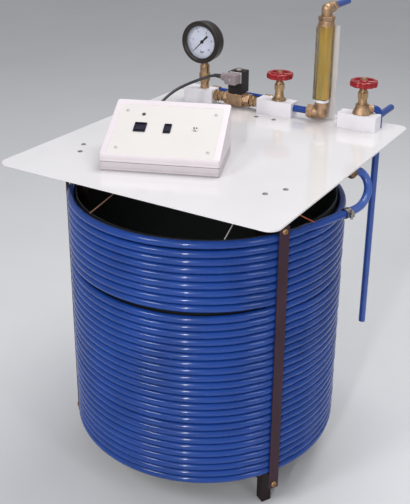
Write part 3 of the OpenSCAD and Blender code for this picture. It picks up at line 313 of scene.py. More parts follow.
def finishes():
    """Every finish of the rig, by the name of its slot or of its piece: its tone, its second tone
    or that tone's share of the first, the scale of its drift, its roughness and the spread of that,
    its grain, its bump, and what else is set."""
    paint = settings().paint
    brass = tuple(paint.brass)
    return {
        "blue_tube": (
            paint.tube, 0.72, 9, 0.26, 0.12, 260, 0.03,
            dict(Coat_Weight=0.32, Coat_Roughness=0.06, Specular_IOR_Level=0.22)),
        "hose": (
            (0.035, 0.10, 0.40), (0.025, 0.07, 0.30), 14, 0.32, 0.12, 300, 0.04,
            dict(Coat_Weight=0.2)),
        "frame_paint": (
            paint.frame, 0.6, 16, 0.42, 0.2, 500, 0.12,
            dict(worn=(0.10, 0.06, 0.05), wear=0.5, Specular_IOR_Level=0.2)),
        "strap_paint": (
            paint.strap, 0.7, 14, 0.38, 0.2, 500, 0.1,
            dict(worn=(0.14, 0.08, 0.08), wear=0.5, Specular_IOR_Level=0.22)),
        "black_plastic": (
            (0.010, 0.007, 0.007), (0.016, 0.012, 0.010), 12, 0.42, 0.12, 600, 0.1,
            dict(Specular_IOR_Level=0.25)),
        "liner_film": (
            (0.006, 0.007, 0.006), (0.010, 0.014, 0.011), 6, 0.55, 0.3, 60, 0.25,
            dict(bump_depth=0.001)),
        "zinc_screws": (
            (0.42, 0.385, 0.36), (0.26, 0.22, 0.20), 90, 0.38, 0.2, 900, 0.1, dict(Metallic=1.0)),
        "dull_screws": (
            (0.15, 0.14, 0.14), (0.24, 0.225, 0.22), 120, 0.5, 0.2, 900, 0.1, dict(Metallic=0.3)),
        "bright_screws": (
            (0.56, 0.545, 0.53), (0.46, 0.44, 0.42), 90, 0.5, 0.2, 900, 0.1, dict(Metallic=0.4)),
        "brass_screws": (
            (0.42, 0.27, 0.14), (0.22, 0.10, 0.06), 120, 0.4, 0.2, 900, 0.1, dict(Metallic=1.0)),
        "tie_band": ((0.62, 0.58, 0.56), (0.5, 0.46, 0.45), 60, 0.4, 0.12, 400, 0.05, {}),
        "tie_orange": ((0.60, 0.13, 0.05), (0.4, 0.08, 0.04), 60, 0.4, 0.12, 400, 0.05, {}),
        "tie_brown": ((0.42, 0.22, 0.15), (0.3, 0.15, 0.1), 60, 0.4, 0.12, 400, 0.05, {}),
        "brass": (
            brass, 0.5, 70, 0.40, 0.35, 700, 0.15,
            dict(low=0.42, high=0.72, worn=(0.66, 0.48, 0.30), wear=0.6, Metallic=1.0)),
        "cast_brass": (
            (0.53, 0.35, 0.215), (0.30, 0.19, 0.115), 80, 0.48, 0.3, 420, 0.35,
            dict(
                low=0.40, high=0.72, bump_depth=0.0003, worn=(0.68, 0.50, 0.33), wear=0.6,
                Metallic=1.0)),
        "old_brass": (
            darker(brass, 0.66), (0.20, 0.11, 0.055), 70, 0.42, 0.3, 500, 0.2,
            dict(low=0.38, high=0.66, worn=(0.75, 0.52, 0.26), wear=0.7, Metallic=1.0)),
        "white_plate": (
            paint.plate, 0.95, 5, 0.15, 0.06, 220, 0.012,
            dict(Coat_Weight=0.5, Coat_Roughness=0.03)),
        "white_block": (
            (0.80, 0.775, 0.81), (0.76, 0.735, 0.77), 20, 0.34, 0.1, 300, 0.04,
            dict(stretch=(1, 1, 8), worn=(0.88, 0.87, 0.9))),
        "gauge_black": (
            (0.016, 0.012, 0.011), (0.028, 0.020, 0.016), 30, 0.36, 0.15, 500, 0.06,
            dict(worn=(0.08, 0.055, 0.045), wear=0.5, Specular_IOR_Level=0.32)),
        "dial_white": ((0.68, 0.70, 0.80), (0.62, 0.64, 0.74), 30, 0.5, 0.12, 300, 0.02, {}),
        "dial_ink": ((0.02, 0.02, 0.03), (0.035, 0.035, 0.045), 80, 0.5, 0.12, 400, 0.05, {}),
        "steel": (
            (0.56, 0.55, 0.55), (0.42, 0.41, 0.41), 60, 0.28, 0.2, 900, 0.08, dict(Metallic=1.0)),
        "grey_plastic": (
            (0.265, 0.215, 0.225), (0.215, 0.172, 0.178), 40, 0.38, 0.12, 700, 0.1,
            dict(worn=(0.36, 0.32, 0.33), wear=0.5)),
        "cable_black": ((0.020, 0.018, 0.022), (0.035, 0.03, 0.036), 30, 0.42, 0.12, 500, 0.06, {}),
        "red_enamel": (
            paint.wheel, 0.7, 60, 0.24, 0.2, 500, 0.12,
            dict(
                worn=(0.50, 0.12, 0.10), wear=0.8, Coat_Weight=0.18, Coat_Roughness=0.12,
                Specular_IOR_Level=0.35)),
        "box_shell": (paint.shell, 0.95, 14, 0.44, 0.08, 900, 0.08, {}),
        "box_tray": (
            darker(paint.shell, 0.78), darker(paint.shell, 0.73), 14, 0.46, 0.08, 900, 0.08,
            dict()),
        "box_face": (paint.face, 0.97, 10, 0.50, 0.08, 900, 0.05, dict(Specular_IOR_Level=0.3)),
        "switch_black": (
            (0.012, 0.009, 0.024), (0.02, 0.016, 0.034), 60, 0.48, 0.08, 400, 0.03,
            dict(Specular_IOR_Level=0.2)),
        "lamp_lens": (
            (0.06, 0.05, 0.055), (0.03, 0.025, 0.03), 90, 0.2, 0.12, 400, 0.02,
            dict(Coat_Weight=0.6)),
        "clear_glass": (
            (0.90, 0.93, 0.95), (0.86, 0.90, 0.92), 12, 0.04, 0.02, 400, 0.005,
            dict(Transmission_Weight=1.0, IOR=1.02, Alpha=0.25)),
        "clear_acrylic": (
            (0.92, 0.90, 0.76), (0.84, 0.80, 0.60), 120, 0.05, 0.04, 60, 0.03,
            dict(streak=(1, 1, 0.05), stretch=(1, 1, 0.1), Transmission_Weight=1.0, IOR=1.35)),
        "amber_tube": (
            paint.fluid, (0.46, 0.37, 0.10), 190, 0.14, 0.1, 400, 0.02,
            dict(low=0.40, high=0.62, streak=(1, 1, 0.04), Coat_Weight=0.5))}


def material_for(key):
    *sizes, more = finishes()[key]
    return finish("rig " + key.replace("_", " "), *sizes, **more)


# ---------------------------------------------------------------- modelling helpers


def add_object(name, mesh, key, body, nodes=(), smooth=35.0):
    """A finished mesh as a piece, with its finish, shading, body and the solids it stands for."""
    mesh.materials.clear()
    mesh.materials.append(material_for(key))
    mesh.polygons.foreach_set("use_smooth", [True] * len(mesh.polygons))
    mesh.set_sharp_from_angle(angle=math.radians(smooth))
    piece = bpy.data.objects.new(name, mesh)
    bpy.context.scene.collection.objects.link(piece)
    even = piece.modifiers.new("even shading", "WEIGHTED_NORMAL")
    even.keep_sharp = True
    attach(piece, body)
    if nodes:
        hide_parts(*nodes)
    return piece


def add_piece(name, bm, key, body="root", nodes=(), smooth=35.0, slot=None):
    mesh = bpy.data.meshes.new(name)
    bm.to_mesh(mesh)
    bm.free()
    return add_object(name, mesh, key, body, nodes, smooth)


def assemble(name, key, nodes, *shapes, **more):
    """A piece put together from shapes: each says what makes it, then its place and measures."""
    bm = bmesh.new()
    for make, *given in shapes:
        make(bm, *given)
    add_piece(name, bm, key, nodes=nodes, **more)


def verts_of(geom):
    return [v for v in geom if isinstance(v, bmesh.types.BMVert)]


def bevel(bm, geom, offset, segments=2, affect="EDGES", clamp=False):
    bmesh.ops.bevel(
        bm, geom=geom, offset=offset, segments=segments, profile=0.5, affect=affect,
        clamp_overlap=clamp, material=-1)


def sharp_edges(bm, angle):
    return [
        e for e in bm.edges
        if len(e.link_faces) == 2 and e.calc_face_angle(0.0) > math.radians(angle)]


def ease(bm, width, segments=2, angle=28.0):
    """Rounds the sharp edges of a mesh."""
    bevel(bm, sharp_edges(bm, angle), width, segments, clamp=True)


def copy_of(node):
    """A solid of the frame as one merged mesh with whole flat faces."""
    bm = bmesh.new()
    bm.from_mesh(frame["nodes"][node].data)
    bmesh.ops.remove_doubles(bm, verts=bm.verts, dist=2e-6)
    bmesh.ops.dissolve_limit(
        bm, angle_limit=math.radians(0.5), verts=bm.verts, edges=bm.edges, delimit=set())
    return bm


def eased_copy(node, width, key=None, segments=2):
    """A solid of the frame with its edges rounded."""
    bm = copy_of(node)
    ease(bm, width, segments)
    add_piece("eased_" + node, bm, key or SLOTS[node], BODIES[node], [node], slot=SLOTS[node])


def turned(bm, profile, matrix, steps=48):
    """A turned part: a closed outline of radii and heights, spun about its own axis."""
    made = bmesh.new()
    verts = [made.verts.new((r, 0, z)) for r, z in profile]
    loop = [made.edges.new((verts[i - 1], verts[i])) for i in range(1, len(verts))]
    if all(r > 1e-6 for r, z in profile):
        loop.append(made.edges.new((verts[-1], verts[0])))
    bmesh.ops.spin(
        made, geom=verts + loop, cent=(0, 0, 0), axis=(0, 0, 1), angle=math.tau, steps=steps,
        use_merge=True)
    bmesh.ops.remove_doubles(made, verts=made.verts, dist=1e-4)
    bmesh.ops.recalc_face_normals(made, faces=made.faces)
    merge(bm, made, matrix)


def merge(bm, made, matrix):
    """Puts a mesh into another at its place."""
    made.transform(matrix)
    mesh = bpy.data.meshes.new("part")
    made.to_mesh(mesh)
    made.free()
    bm.from_mesh(mesh)
    bpy.data.meshes.remove(mesh)


def round_outline(r, z0, z1, edge=0.6, bore=0.0):
    """The outline of a round bar or ring with broken edges."""
    edge = min(edge, (z1 - z0) / 3, (r - bore) / 3)
    outer = [(r - edge, z0), (r - 0.3 * edge, z0 + 0.3 * edge), (r, z0 + edge)]
    outer += [(r, z1 - edge), (r - 0.3 * edge, z1 - 0.3 * edge), (r - edge, z1)]
    return [(bore, z0)] + outer + [(bore, z1)]


def bar(bm, matrix, r, z0, z1, edge=0.6, bore=0.0, steps=48):
    turned(bm, round_outline(r, z0, z1, edge, bore), matrix, steps)


def thread(bm, matrix, r, z0, z1, pitch=1.8, depth=0.7, bore=0.0):
    """A threaded stretch, drawn as close rings."""
    profile, z = [(bore, z0), (r - depth, z0)], z0
    while z + pitch <= z1 + 1e-6:
        profile += [(r, z + 0.4 * pitch), (r, z + 0.6 * pitch), (r - depth, z + pitch)]
        z += pitch
    turned(bm, profile + [(r - depth, z1), (bore, z1)], matrix)


def nut(bm, matrix, across, z0, z1, edge=1.0, spin=0.0):
    """A hexagon with its corners chamfered, as a nut's are."""
    made = bmesh.new()
    corner = across / 2 / math.cos(math.radians(30))
    circle = bmesh.ops.create_circle(made, segments=6, radius=corner, cap_ends=True)
    bmesh.ops.translate(made, verts=circle["verts"], vec=(0, 0, z0))
    top = bmesh.ops.extrude_face_region(made, geom=made.faces[:])
    up = verts_of(top["geom"])
    bmesh.ops.translate(made, verts=up, vec=(0, 0, z1 - z0))
    bmesh.ops.recalc_face_normals(made, faces=made.faces)
    rims = [e for e in made.edges if abs(e.verts[0].co.z - e.verts[1].co.z) < 1e-6]
    bevel(made, rims, edge)
    uprights = [e for e in made.edges if abs((e.verts[0].co - e.verts[1].co).normalized().z) > 0.9]
    bevel(made, uprights, edge * 0.4)
    merge(bm, made, matrix @ Matrix.Rotation(math.radians(spin), 4, "Z"))


def box(bm, matrix, size, edge=0.8, segments=3, corner=None):
    """A block about a centre, with rounded edges."""
    made = bmesh.new()
    bmesh.ops.create_cube(made, size=1.0)
    bmesh.ops.scale(made, verts=made.verts, vec=size)
    if corner:
        tall = [e for e in made.edges if abs(e.verts[0].co.z - e.verts[1].co.z) > 1e-6]
        bevel(made, tall, corner, 5)
    if edge:
        ease(made, edge, segments, 50.0)
    merge(bm, made, matrix)


def ball(bm, matrix, r):
    made = bmesh.new()
    bmesh.ops.create_uvsphere(made, u_segments=32, v_segments=20, radius=r)
    merge(bm, made, matrix)


def smooth_route(points, cuts):
    """Points along one smooth curve through the given ones."""
    route = [Vector(p) for p in points]
    ends = [2 * route[0] - route[1]] + route + [2 * route[-1] - route[-2]]
    made = []
    for a, b, c, d in zip(ends, ends[1:], ends[2:], ends[3:]):
        for i in range(cuts):
            t = i / cuts
            made.append(
                0.5
                * (
                    2 * b + (c - a) * t + (2 * a - 5 * b + 4 * c - d) * t * t
                    + (3 * b - a - 3 * c + d) * t**3))
    return made + [route[-1]]


def from_curve(curve, near):
    """The mesh of a curve, which is used up, and a copy to work on with its doubles merged."""
    carrier = bpy.data.objects.new("carrier", curve)
    bpy.context.scene.collection.objects.link(carrier)
    bpy.context.view_layer.update()
    mesh = bpy.data.meshes.new_from_object(carrier)
    bpy.data.objects.remove(carrier)
    bpy.data.curves.remove(curve)
    bm = bmesh.new()
    bm.from_mesh(mesh)
    bmesh.ops.remove_doubles(bm, verts=bm.verts, dist=near)
    return mesh, bm


def tube_mesh(name, points, radius, sides=20, wall=None, depth=0.0):
    """A round tube along points in metres; with a wall, its last end is bored to a depth."""
    curve = bpy.data.curves.new(name, "CURVE")
    curve.dimensions = "3D"
    curve.bevel_depth = radius
    curve.bevel_resolution = (sides - 4) // 4
    line = curve.splines.new("POLY")
    line.points.add(len(points) - 1)
    for point, where in zip(line.points, points):
        point.co = (*where, 1)
    mesh, bm = from_curve(curve, 1e-6)
    mesh.name = name
    if wall:
        end, inward = Vector(points[-1]), (Vector(points[-2]) - Vector(points[-1])).normalized()
        rim = [e for e in bm.edges if e.is_boundary and (e.verts[0].co - end).length < 2 * radius]
        for grow, shift in ((1 - wall / radius, 0.0), (1.0, depth)):
            made = bmesh.ops.extrude_edge_only(bm, edges=rim)["geom"]
            verts = verts_of(made)
            rim = [e for e in made if isinstance(e, bmesh.types.BMEdge)]
            for v in verts:
                v.co = end + (v.co - end) * grow + inward * shift
    bmesh.ops.holes_fill(bm, edges=[e for e in bm.edges if e.is_boundary])
    bmesh.ops.recalc_face_normals(bm, faces=bm.faces)
    bm.to_mesh(mesh)
    bm.free()
    return mesh


def bent(points, radius, cuts=10):
    """A polyline whose corners are round bends."""
    route = [Vector(p) for p in points]
    made = [route[0]]
    for a, b, c in zip(route, route[1:], route[2:]):
        back, ahead = (a - b).normalized(), (c - b).normalized()
        half = back.angle(ahead) / 2
        reach = radius / math.tan(half)
        centre = b + (back + ahead).normalized() * radius / math.sin(half)
        start, end = b + back * reach - centre, b + ahead * reach - centre
        for i in range(cuts + 1):
            made.append(centre + start.slerp(end, i / cuts).normalized() * radius)
    return made + [route[-1]]


# ---------------------------------------------------------------- the stage and the cords

CAMERA_AT = (799.5, -1324.9, 1206.0)
# Each lamp's place from the coil's axis, its size and its power
LAMPS = (
    ("key softbox", (-0.8, -2.3, 2.5), (0.6, 0.9), 25),
    ("fill softbox", (2.3, -0.9, 1.7), (0.4, 1.5), 9),
    ("top softbox", (0.3, 0.9, 2.9), (1.8, 1.2), 41),
    ("front strip", (0.7, -2.7, 1.5), (0.16, 1.3), 28),
    ("side strip", (2.1, 1.6, 1.5), (0.2, 1.5), 2))
LAMPS_AIM = (0, 0, 0.42)


class RIG_OT_stage(bpy.types.Operator):
    """Camera, lamps, floor and background"""

    bl_idname = "pipe_rig.stage"
    bl_label = "Stage"

    def execute(self, context):
        scene = context.scene
        scene.view_settings.view_transform = "Standard"
        view = settings().camera
        data = bpy.data.cameras.new("view")
        data.sensor_width = 36.0
        data.lens = view.lens
        data.shift_y = view.sunk
        data.clip_end = 60.0
        camera = bpy.data.objects.new("view", data)
        heading, pitch = view.heading, view.pitch
        ahead = Vector(
            (
                -math.sin(heading) * math.cos(pitch), math.cos(heading) * math.cos(pitch),
                -math.sin(pitch)))
        camera.rotation_mode = "QUATERNION"
        camera.rotation_quaternion = (
            ahead.to_track_quat("-Z", "Y") @ Matrix.Rotation(view.roll, 3, "Z").to_quaternion())
        camera.location = place(*CAMERA_AT)
        scene.collection.objects.link(camera)
        scene.camera = camera

        floor = bmesh.new()
        bmesh.ops.create_grid(floor, x_segments=2, y_segments=2, size=14.0)
        mesh = bpy.data.meshes.new("floor")
        floor.to_mesh(mesh)
        floor.free()
        mesh.materials.append(
            finish("pale floor", (0.72, 0.72, 0.73), (0.69, 0.69, 0.70), 1.5, 0.6))
        ground = bpy.data.objects.new("floor", mesh)
        scene.collection.objects.link(ground)

        world = bpy.data.worlds.new("studio")
        scene.world = world
        world.use_nodes = True
        tree = world.node_tree
        soft = tree.nodes["Background"]
        soft.inputs["Color"].default_value = (0.93, 0.95, 1.0, 1)
        soft.inputs["Strength"].default_value = 0.42
        seen = add(tree, "Background", (0.86, 0.86, 0.88, 1))
        path = add(tree, "LightPath").outputs["Is Camera Ray"]
        mix = add(tree, "MixShader", path, soft, seen)
        tree.links.new(mix.outputs[0], tree.nodes["World Output"].inputs["Surface"])

        for name, where, size, power in LAMPS:
            lamp = bpy.data.lights.new(name, "AREA")
            lamp.shape = "RECTANGLE"
            lamp.size, lamp.size_y = size
            lamp.energy = power
            holder = bpy.data.objects.new(name, lamp)
            holder.location = AXIS + Vector(where)
            aim = AXIS + Vector(LAMPS_AIM) - holder.location
            holder.rotation_mode = "QUATERNION"
            holder.rotation_quaternion = aim.to_track_quat("-Z", "Y")
            scene.collection.objects.link(holder)
        return {"FINISHED"}


LEAD_ROUTE = [
    (288, 22, -75.5), (292, 35, -75.5), (295, 48, -75.5), (297, 61, -75), (297.9, 74, -73),
    (298.2, 86, -68.5), (297.8, 96, -62), (296.5, 103, -53.5), (293, 108, -44.5),
    (288.5, 110, -36.5), (283, 109, -29), (278, 105.5, -23.5), (274, 101, -20.8), (272, 95, -20),
    (272, 88.3, -20)]
CABLE_ROUTE = [
    (-116.3, 255.5, 75), (-128, 255.5, 75), (-143, 255.3, 72.5), (-158, 252, 67), (-173, 245, 60.5),
    (-186, 233, 54.5), (-196, 215, 49), (-201.5, 193, 43.5), (-203.5, 168, 37), (-203, 140, 28),
    (-200, 112, 17), (-195, 86, 9.5), (-188, 62, 5), (-179, 40, 4.2), (-168, 22, 7), (-157, 7, 13),
    (-148.5, -5, 21.5), (-141.8, -18.4, 27), (-137.3, -29.7, 27)]
DRAIN_AT = (232.0, 317.0)
DRAIN_LOW = 190.0
FITTING_LOW = PLATE_UNDER - 32.0
DRAIN_Z = 41.0
DRAIN_WAY = ray(math.atan2(DRAIN_AT[1] - LINE_Y, DRAIN_AT[0] - RIGHT_X))
HOSE_R = 8.0
CABLE_R = 3.25
TUBE_R = 7.5
FEED_R = 6.0
DRAIN_BEND_R = 7.3
TIE_R = 1.1
TIE_SAG = Vector((0, 0, -0.0015))
HOSE_WALL = 1.6
PIPE_WALL = 1.5
HOSE_BORE_DEPTH = 24.0
PIPE_BORE_DEPTH = 30.0
# The radius of each bend's middle line
RISER_BEND = 60.0
FEED_BEND = 25.0
DRAIN_BEND = 14.0


class RIG_OT_cords(bpy.types.Operator):
    """The hose at the top of the coil, the hanging drain hose and the valve's cable"""

    bl_idname = "pipe_rig.cords"
    bl_label = "Hoses and cable"

    def cord(self, name, route, radius, node, key, far_end, stiffness, lay, wall=None):
        mesh = tube_mesh(name, route, radius * MM, 20, wall, HOSE_BORE_DEPTH * MM)
        piece = add_object(name, mesh, key, "root", [node])

    def execute(self, context):
        lead = [on_plate(*p) for p in smooth_route(LEAD_ROUTE, 4)]
        self.cord("lead_hose_bend", lead, HOSE_R, "lead_hose", "hose", "object", "stiff", "taut")
        ends = [place(*DRAIN_AT, z) for z in (FITTING_LOW, DRAIN_LOW)]
        drop = [ends[0].lerp(ends[1], i / 24) for i in range(25)]
        self.cord(
            "drain_hose_drop", drop, TUBE_R, "drain_hose", "hose", "bare", "medium", "hanging",
            HOSE_WALL * MM)
        cable = [on_plate(*p) for p in smooth_route(CABLE_ROUTE, 4)]
        self.cord(
            "valve_cable", cable, CABLE_R, "solenoid_cable", "cable_black", "object", "medium",
            "loose")
        return {"FINISHED"}


# ---------------------------------------------------------------- the coil

COIL_R = 267.5
COIL_BASE = 84.5
COIL_PITCH = 15.4
LOW_EXIT = 166.624
COIL_SWEEP = 360.0 * 32 + 175.582
LOW_END = 126.0
HIGH_TAIL = 108.958
STRAPS = (210.0, 330.0, 90.0)
STRAP_PASS = 12.206
KINK_AWAY = 9.5
KINK_SPREAD = 2.1
FADE = 45.0
STRAP_BOLTS = (60.0, 599.311)
STRAP_HEAD = 278.3
COIL_TOP = 592.311
CLIP_AT = (288, 22, 584.811)
CLIP_TURN = math.radians(-17.7937)
RISER_AT = (-206, 290)
RISER_TAIL = 234.478
SLACK = 1.5
TURNS = 33


def turn_offsets():
    """How far each turn stands off an even pitch half-way between two straps."""
    coil = settings().coil
    gaps = {1: coil.top_gap / MM, 9: coil.wide_gap / MM, 24: coil.low_gap / MM}
    rest = (TURNS - 1) * (COIL_PITCH - 2 * TUBE_R) - sum(gaps.values())
    shut = rest / (TURNS - 1 - len(gaps))
    offsets = [0.0]
    for turn in range(1, TURNS):
        offsets.append(offsets[-1] + COIL_PITCH - 2 * TUBE_R - gaps.get(turn, shut))
    return offsets


def coil_route(steps):
    """The middle line of the wound tube, from its low end to its high end, in metres."""
    chance = random.Random(7)
    offsets = turn_offsets()
    kink = settings().coil.kink / MM
    waves = [(chance.uniform(0, math.tau), chance.uniform(0.25, 0.7)) for _ in range(TURNS + 2)]
    kinks = [[chance.uniform(-2.2, 2.2) for _ in range(6)] for _ in range(TURNS + 2)]
    depths = [[chance.uniform(0.45, 1.0) for _ in range(6)] for _ in range(TURNS + 2)]
    count = round(COIL_SWEEP / 360 * steps)
    made = []
    for i in range(count + 1):
        s = COIL_SWEEP * i / count
        turn_at = LOW_EXIT + s
        below = COIL_SWEEP - s - STRAP_PASS
        turn = max(0, min(TURNS - 1, math.floor(below / 360)))
        part = (below % 360) / 120 if below > 0 else 0.0
        span, along = int(part), part - int(part)
        bow = math.sin(math.pi * along ** (0.7 if span == 0 else 1.0))
        bow *= (1.0, 0.75, 0.75)[min(span, 2)]
        phase, size = waves[turn]
        lean = math.sin(math.pi * along) if below > 0 else 0.0
        z = COIL_BASE + COIL_PITCH * s / 360 + offsets[turn] * max(bow, 0.0)
        front = max(0.0, -math.sin(math.radians(turn_at)))
        r = COIL_R - 0.4 - SLACK * front**3 * min(1.0, s / FADE, (COIL_SWEEP - s) / FADE)
        r += size * lean * math.sin(phase + 3 * math.radians(turn_at))
        for k, strap in enumerate(STRAPS):
            hold = 0.3 if k == 0 else 1.0
            for side, away in enumerate((-KINK_AWAY, KINK_AWAY)):
                centre = strap + away + kinks[turn][2 * k + side]
                off = (turn_at - centre + 180) % 360 - 180
                r -= hold * kink * depths[turn][2 * k + side] * math.exp(
                    -((off / KINK_SPREAD) ** 2))
        a = math.radians(turn_at)
        made.append((r * math.cos(a), r * math.sin(a), z))
    low, high = math.radians(LOW_EXIT), math.radians(LOW_EXIT + COIL_SWEEP)
    start = [
        (
            COIL_R * math.cos(low) + back * math.sin(low),
            COIL_R * math.sin(low) - back * math.cos(low), COIL_BASE)
        for back in (LOW_END, LOW_END * 0.6, LOW_END * 0.3)]
    top = made[-1][2]
    finish_line = [
        (
            COIL_R * math.cos(high) - ahead * math.sin(high),
            COIL_R * math.sin(high) + ahead * math.cos(high), top)
        for ahead in (HIGH_TAIL * 0.3, HIGH_TAIL * 0.6, HIGH_TAIL - 0.3)]
    return [place(*p) for p in start + made + finish_line]


class RIG_OT_coil(bpy.types.Operator):
    """The wound blue tube"""

    bl_idname = "pipe_rig.coil"
    bl_label = "Coil"

    def execute(self, context):
        coil = settings().coil
        route = coil_route(coil.steps)
        mesh = tube_mesh("coil_turns", route, coil.tube_radius, 16)
        add_object("coil_turns", mesh, "blue_tube", "root", ["coil_tube"], smooth=60)
        return {"FINISHED"}


class RIG_OT_coil_trim(bpy.types.Operator):
    """The liner, the ties and the clip at the top of the coil"""

    bl_idname = "pipe_rig.coil_trim"
    bl_label = "Coil trim"

    def execute(self, context):
        low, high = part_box("coil_liner")
        radius = (high.x - low.x) / 2 / MM
        assemble(
            "coil_liner_skin", "liner_film", ["coil_liner"],
            (
                bar, facing(place(0, 0, low.z / MM)), radius, 0, (high.z - low.z) / MM, 0.5,
                radius - 2, 144))
        ties = (
            ("tie_white", "tie_band", (160, -205, -1.5), (150, -125.5, 30), ["coil_ties"]),
            ("tie_red", "tie_orange", (262, -64, 0.6), (194, -86, 34), []),
            ("tie_tan", "tie_brown", (-102, -240, -2), (-95, -125.5, 28), []))
        for name, key, a, b, nodes in ties:
            start, end = (place(p[0], p[1], COIL_TOP + p[2]) for p in (a, b))
            points = [
                start.lerp(end, i / 8) + TIE_SAG * math.sin(math.pi * i / 8) for i in range(9)]
            mesh = tube_mesh(name, points, TIE_R * MM, 8)
            add_object(name, mesh, key, "root", nodes)
        clip = bmesh.new()
        ahead = beside(CLIP_TURN)
        grip = facing(place(*CLIP_AT), ahead)
        bar(clip, grip, HOSE_R + 1.7, -6.5, 6.5, 0.3, HOSE_R + 0.35)
        for z in (-5, -3, -1, 1, 3, 5):
            bar(clip, grip, HOSE_R + 1.95, z - 0.35, z + 0.35, 0.1, HOSE_R + 1.2)
        worm = place(*CLIP_AT) + ray(CLIP_TURN) * (HOSE_R + 4.6) * MM
        box(clip, facing(worm, ahead), (6, 9, 10), 0.8)
        bar(clip, facing(worm), 2.4, -8.5, 7.5, 0.5)
        nut(clip, facing(worm), 6, 6, 10, 0.4)
        add_piece("hose_clip", clip, "zinc_screws", nodes=["hose_clamp"])
        return {"FINISHED"}


# ---------------------------------------------------------------- the frame


class RIG_OT_frame(bpy.types.Operator):
    """Legs, feet, rails, straps, blocks and bolts"""

    bl_idname = "pipe_rig.frame"
    bl_label = "Frame"

    def execute(self, context):
        width = settings().edges.metal
        for node in ("leg_left", "leg_right", "leg_rear", "frame_rails"):
            eased_copy(node, width)
        eased_copy("leg_feet", 0.0004)
        eased_copy("coil_straps", width, "strap_paint")
        eased_copy("strap_blocks", 0.0004)
        bolts, head = bmesh.new(), STRAP_HEAD
        for strap in STRAPS:
            for z in STRAP_BOLTS:
                screw = facing(place(0, 0, z), ray(math.radians(strap)))
                bar(bolts, screw, 3.0, 246.0, head, 0.2)
                profile = [
                    (0, head), (6, head), (6, head + 0.8), (5.2, head + 2.4), (3.4, head + 3.6)]
                turned(
                    bolts, profile + [(2.4, head + 3.9), (2.4, head + 2.2), (0, head + 2.2)], screw)
                nut(bolts, screw, 9.6, 247.5, 252.1, 0.5)
        add_piece("strap_bolt_heads", bolts, "brass_screws", nodes=["strap_bolts"])
        return {"FINISHED"}


class RIG_OT_plate(bpy.types.Operator):
    """The white plate, its screws and the white blocks"""

    bl_idname = "pipe_rig.plate"
    bl_label = "Plate and blocks"

    def execute(self, context):
        eased_copy("top_plate", settings().edges.plate, segments=3)
        eased_copy("plate_screws", 0.00025, "dull_screws")
        eased_copy("mounting_blocks", 0.0006)
        return {"FINISHED"}


# ---------------------------------------------------------------- pipes and fittings


def elbow(bm, point, arms, r):
    """An elbow: a ball with a bossed arm each way; each arm is (direction, length, radius)."""
    ball(bm, facing(point), r)
    for direction, reach, arm_r in arms:
        arm = facing(point, direction)
        bar(bm, arm, arm_r - 0.6, 0, reach, 0.4)
        bar(bm, arm, arm_r, max(reach - 8, 1), reach, 0.8)


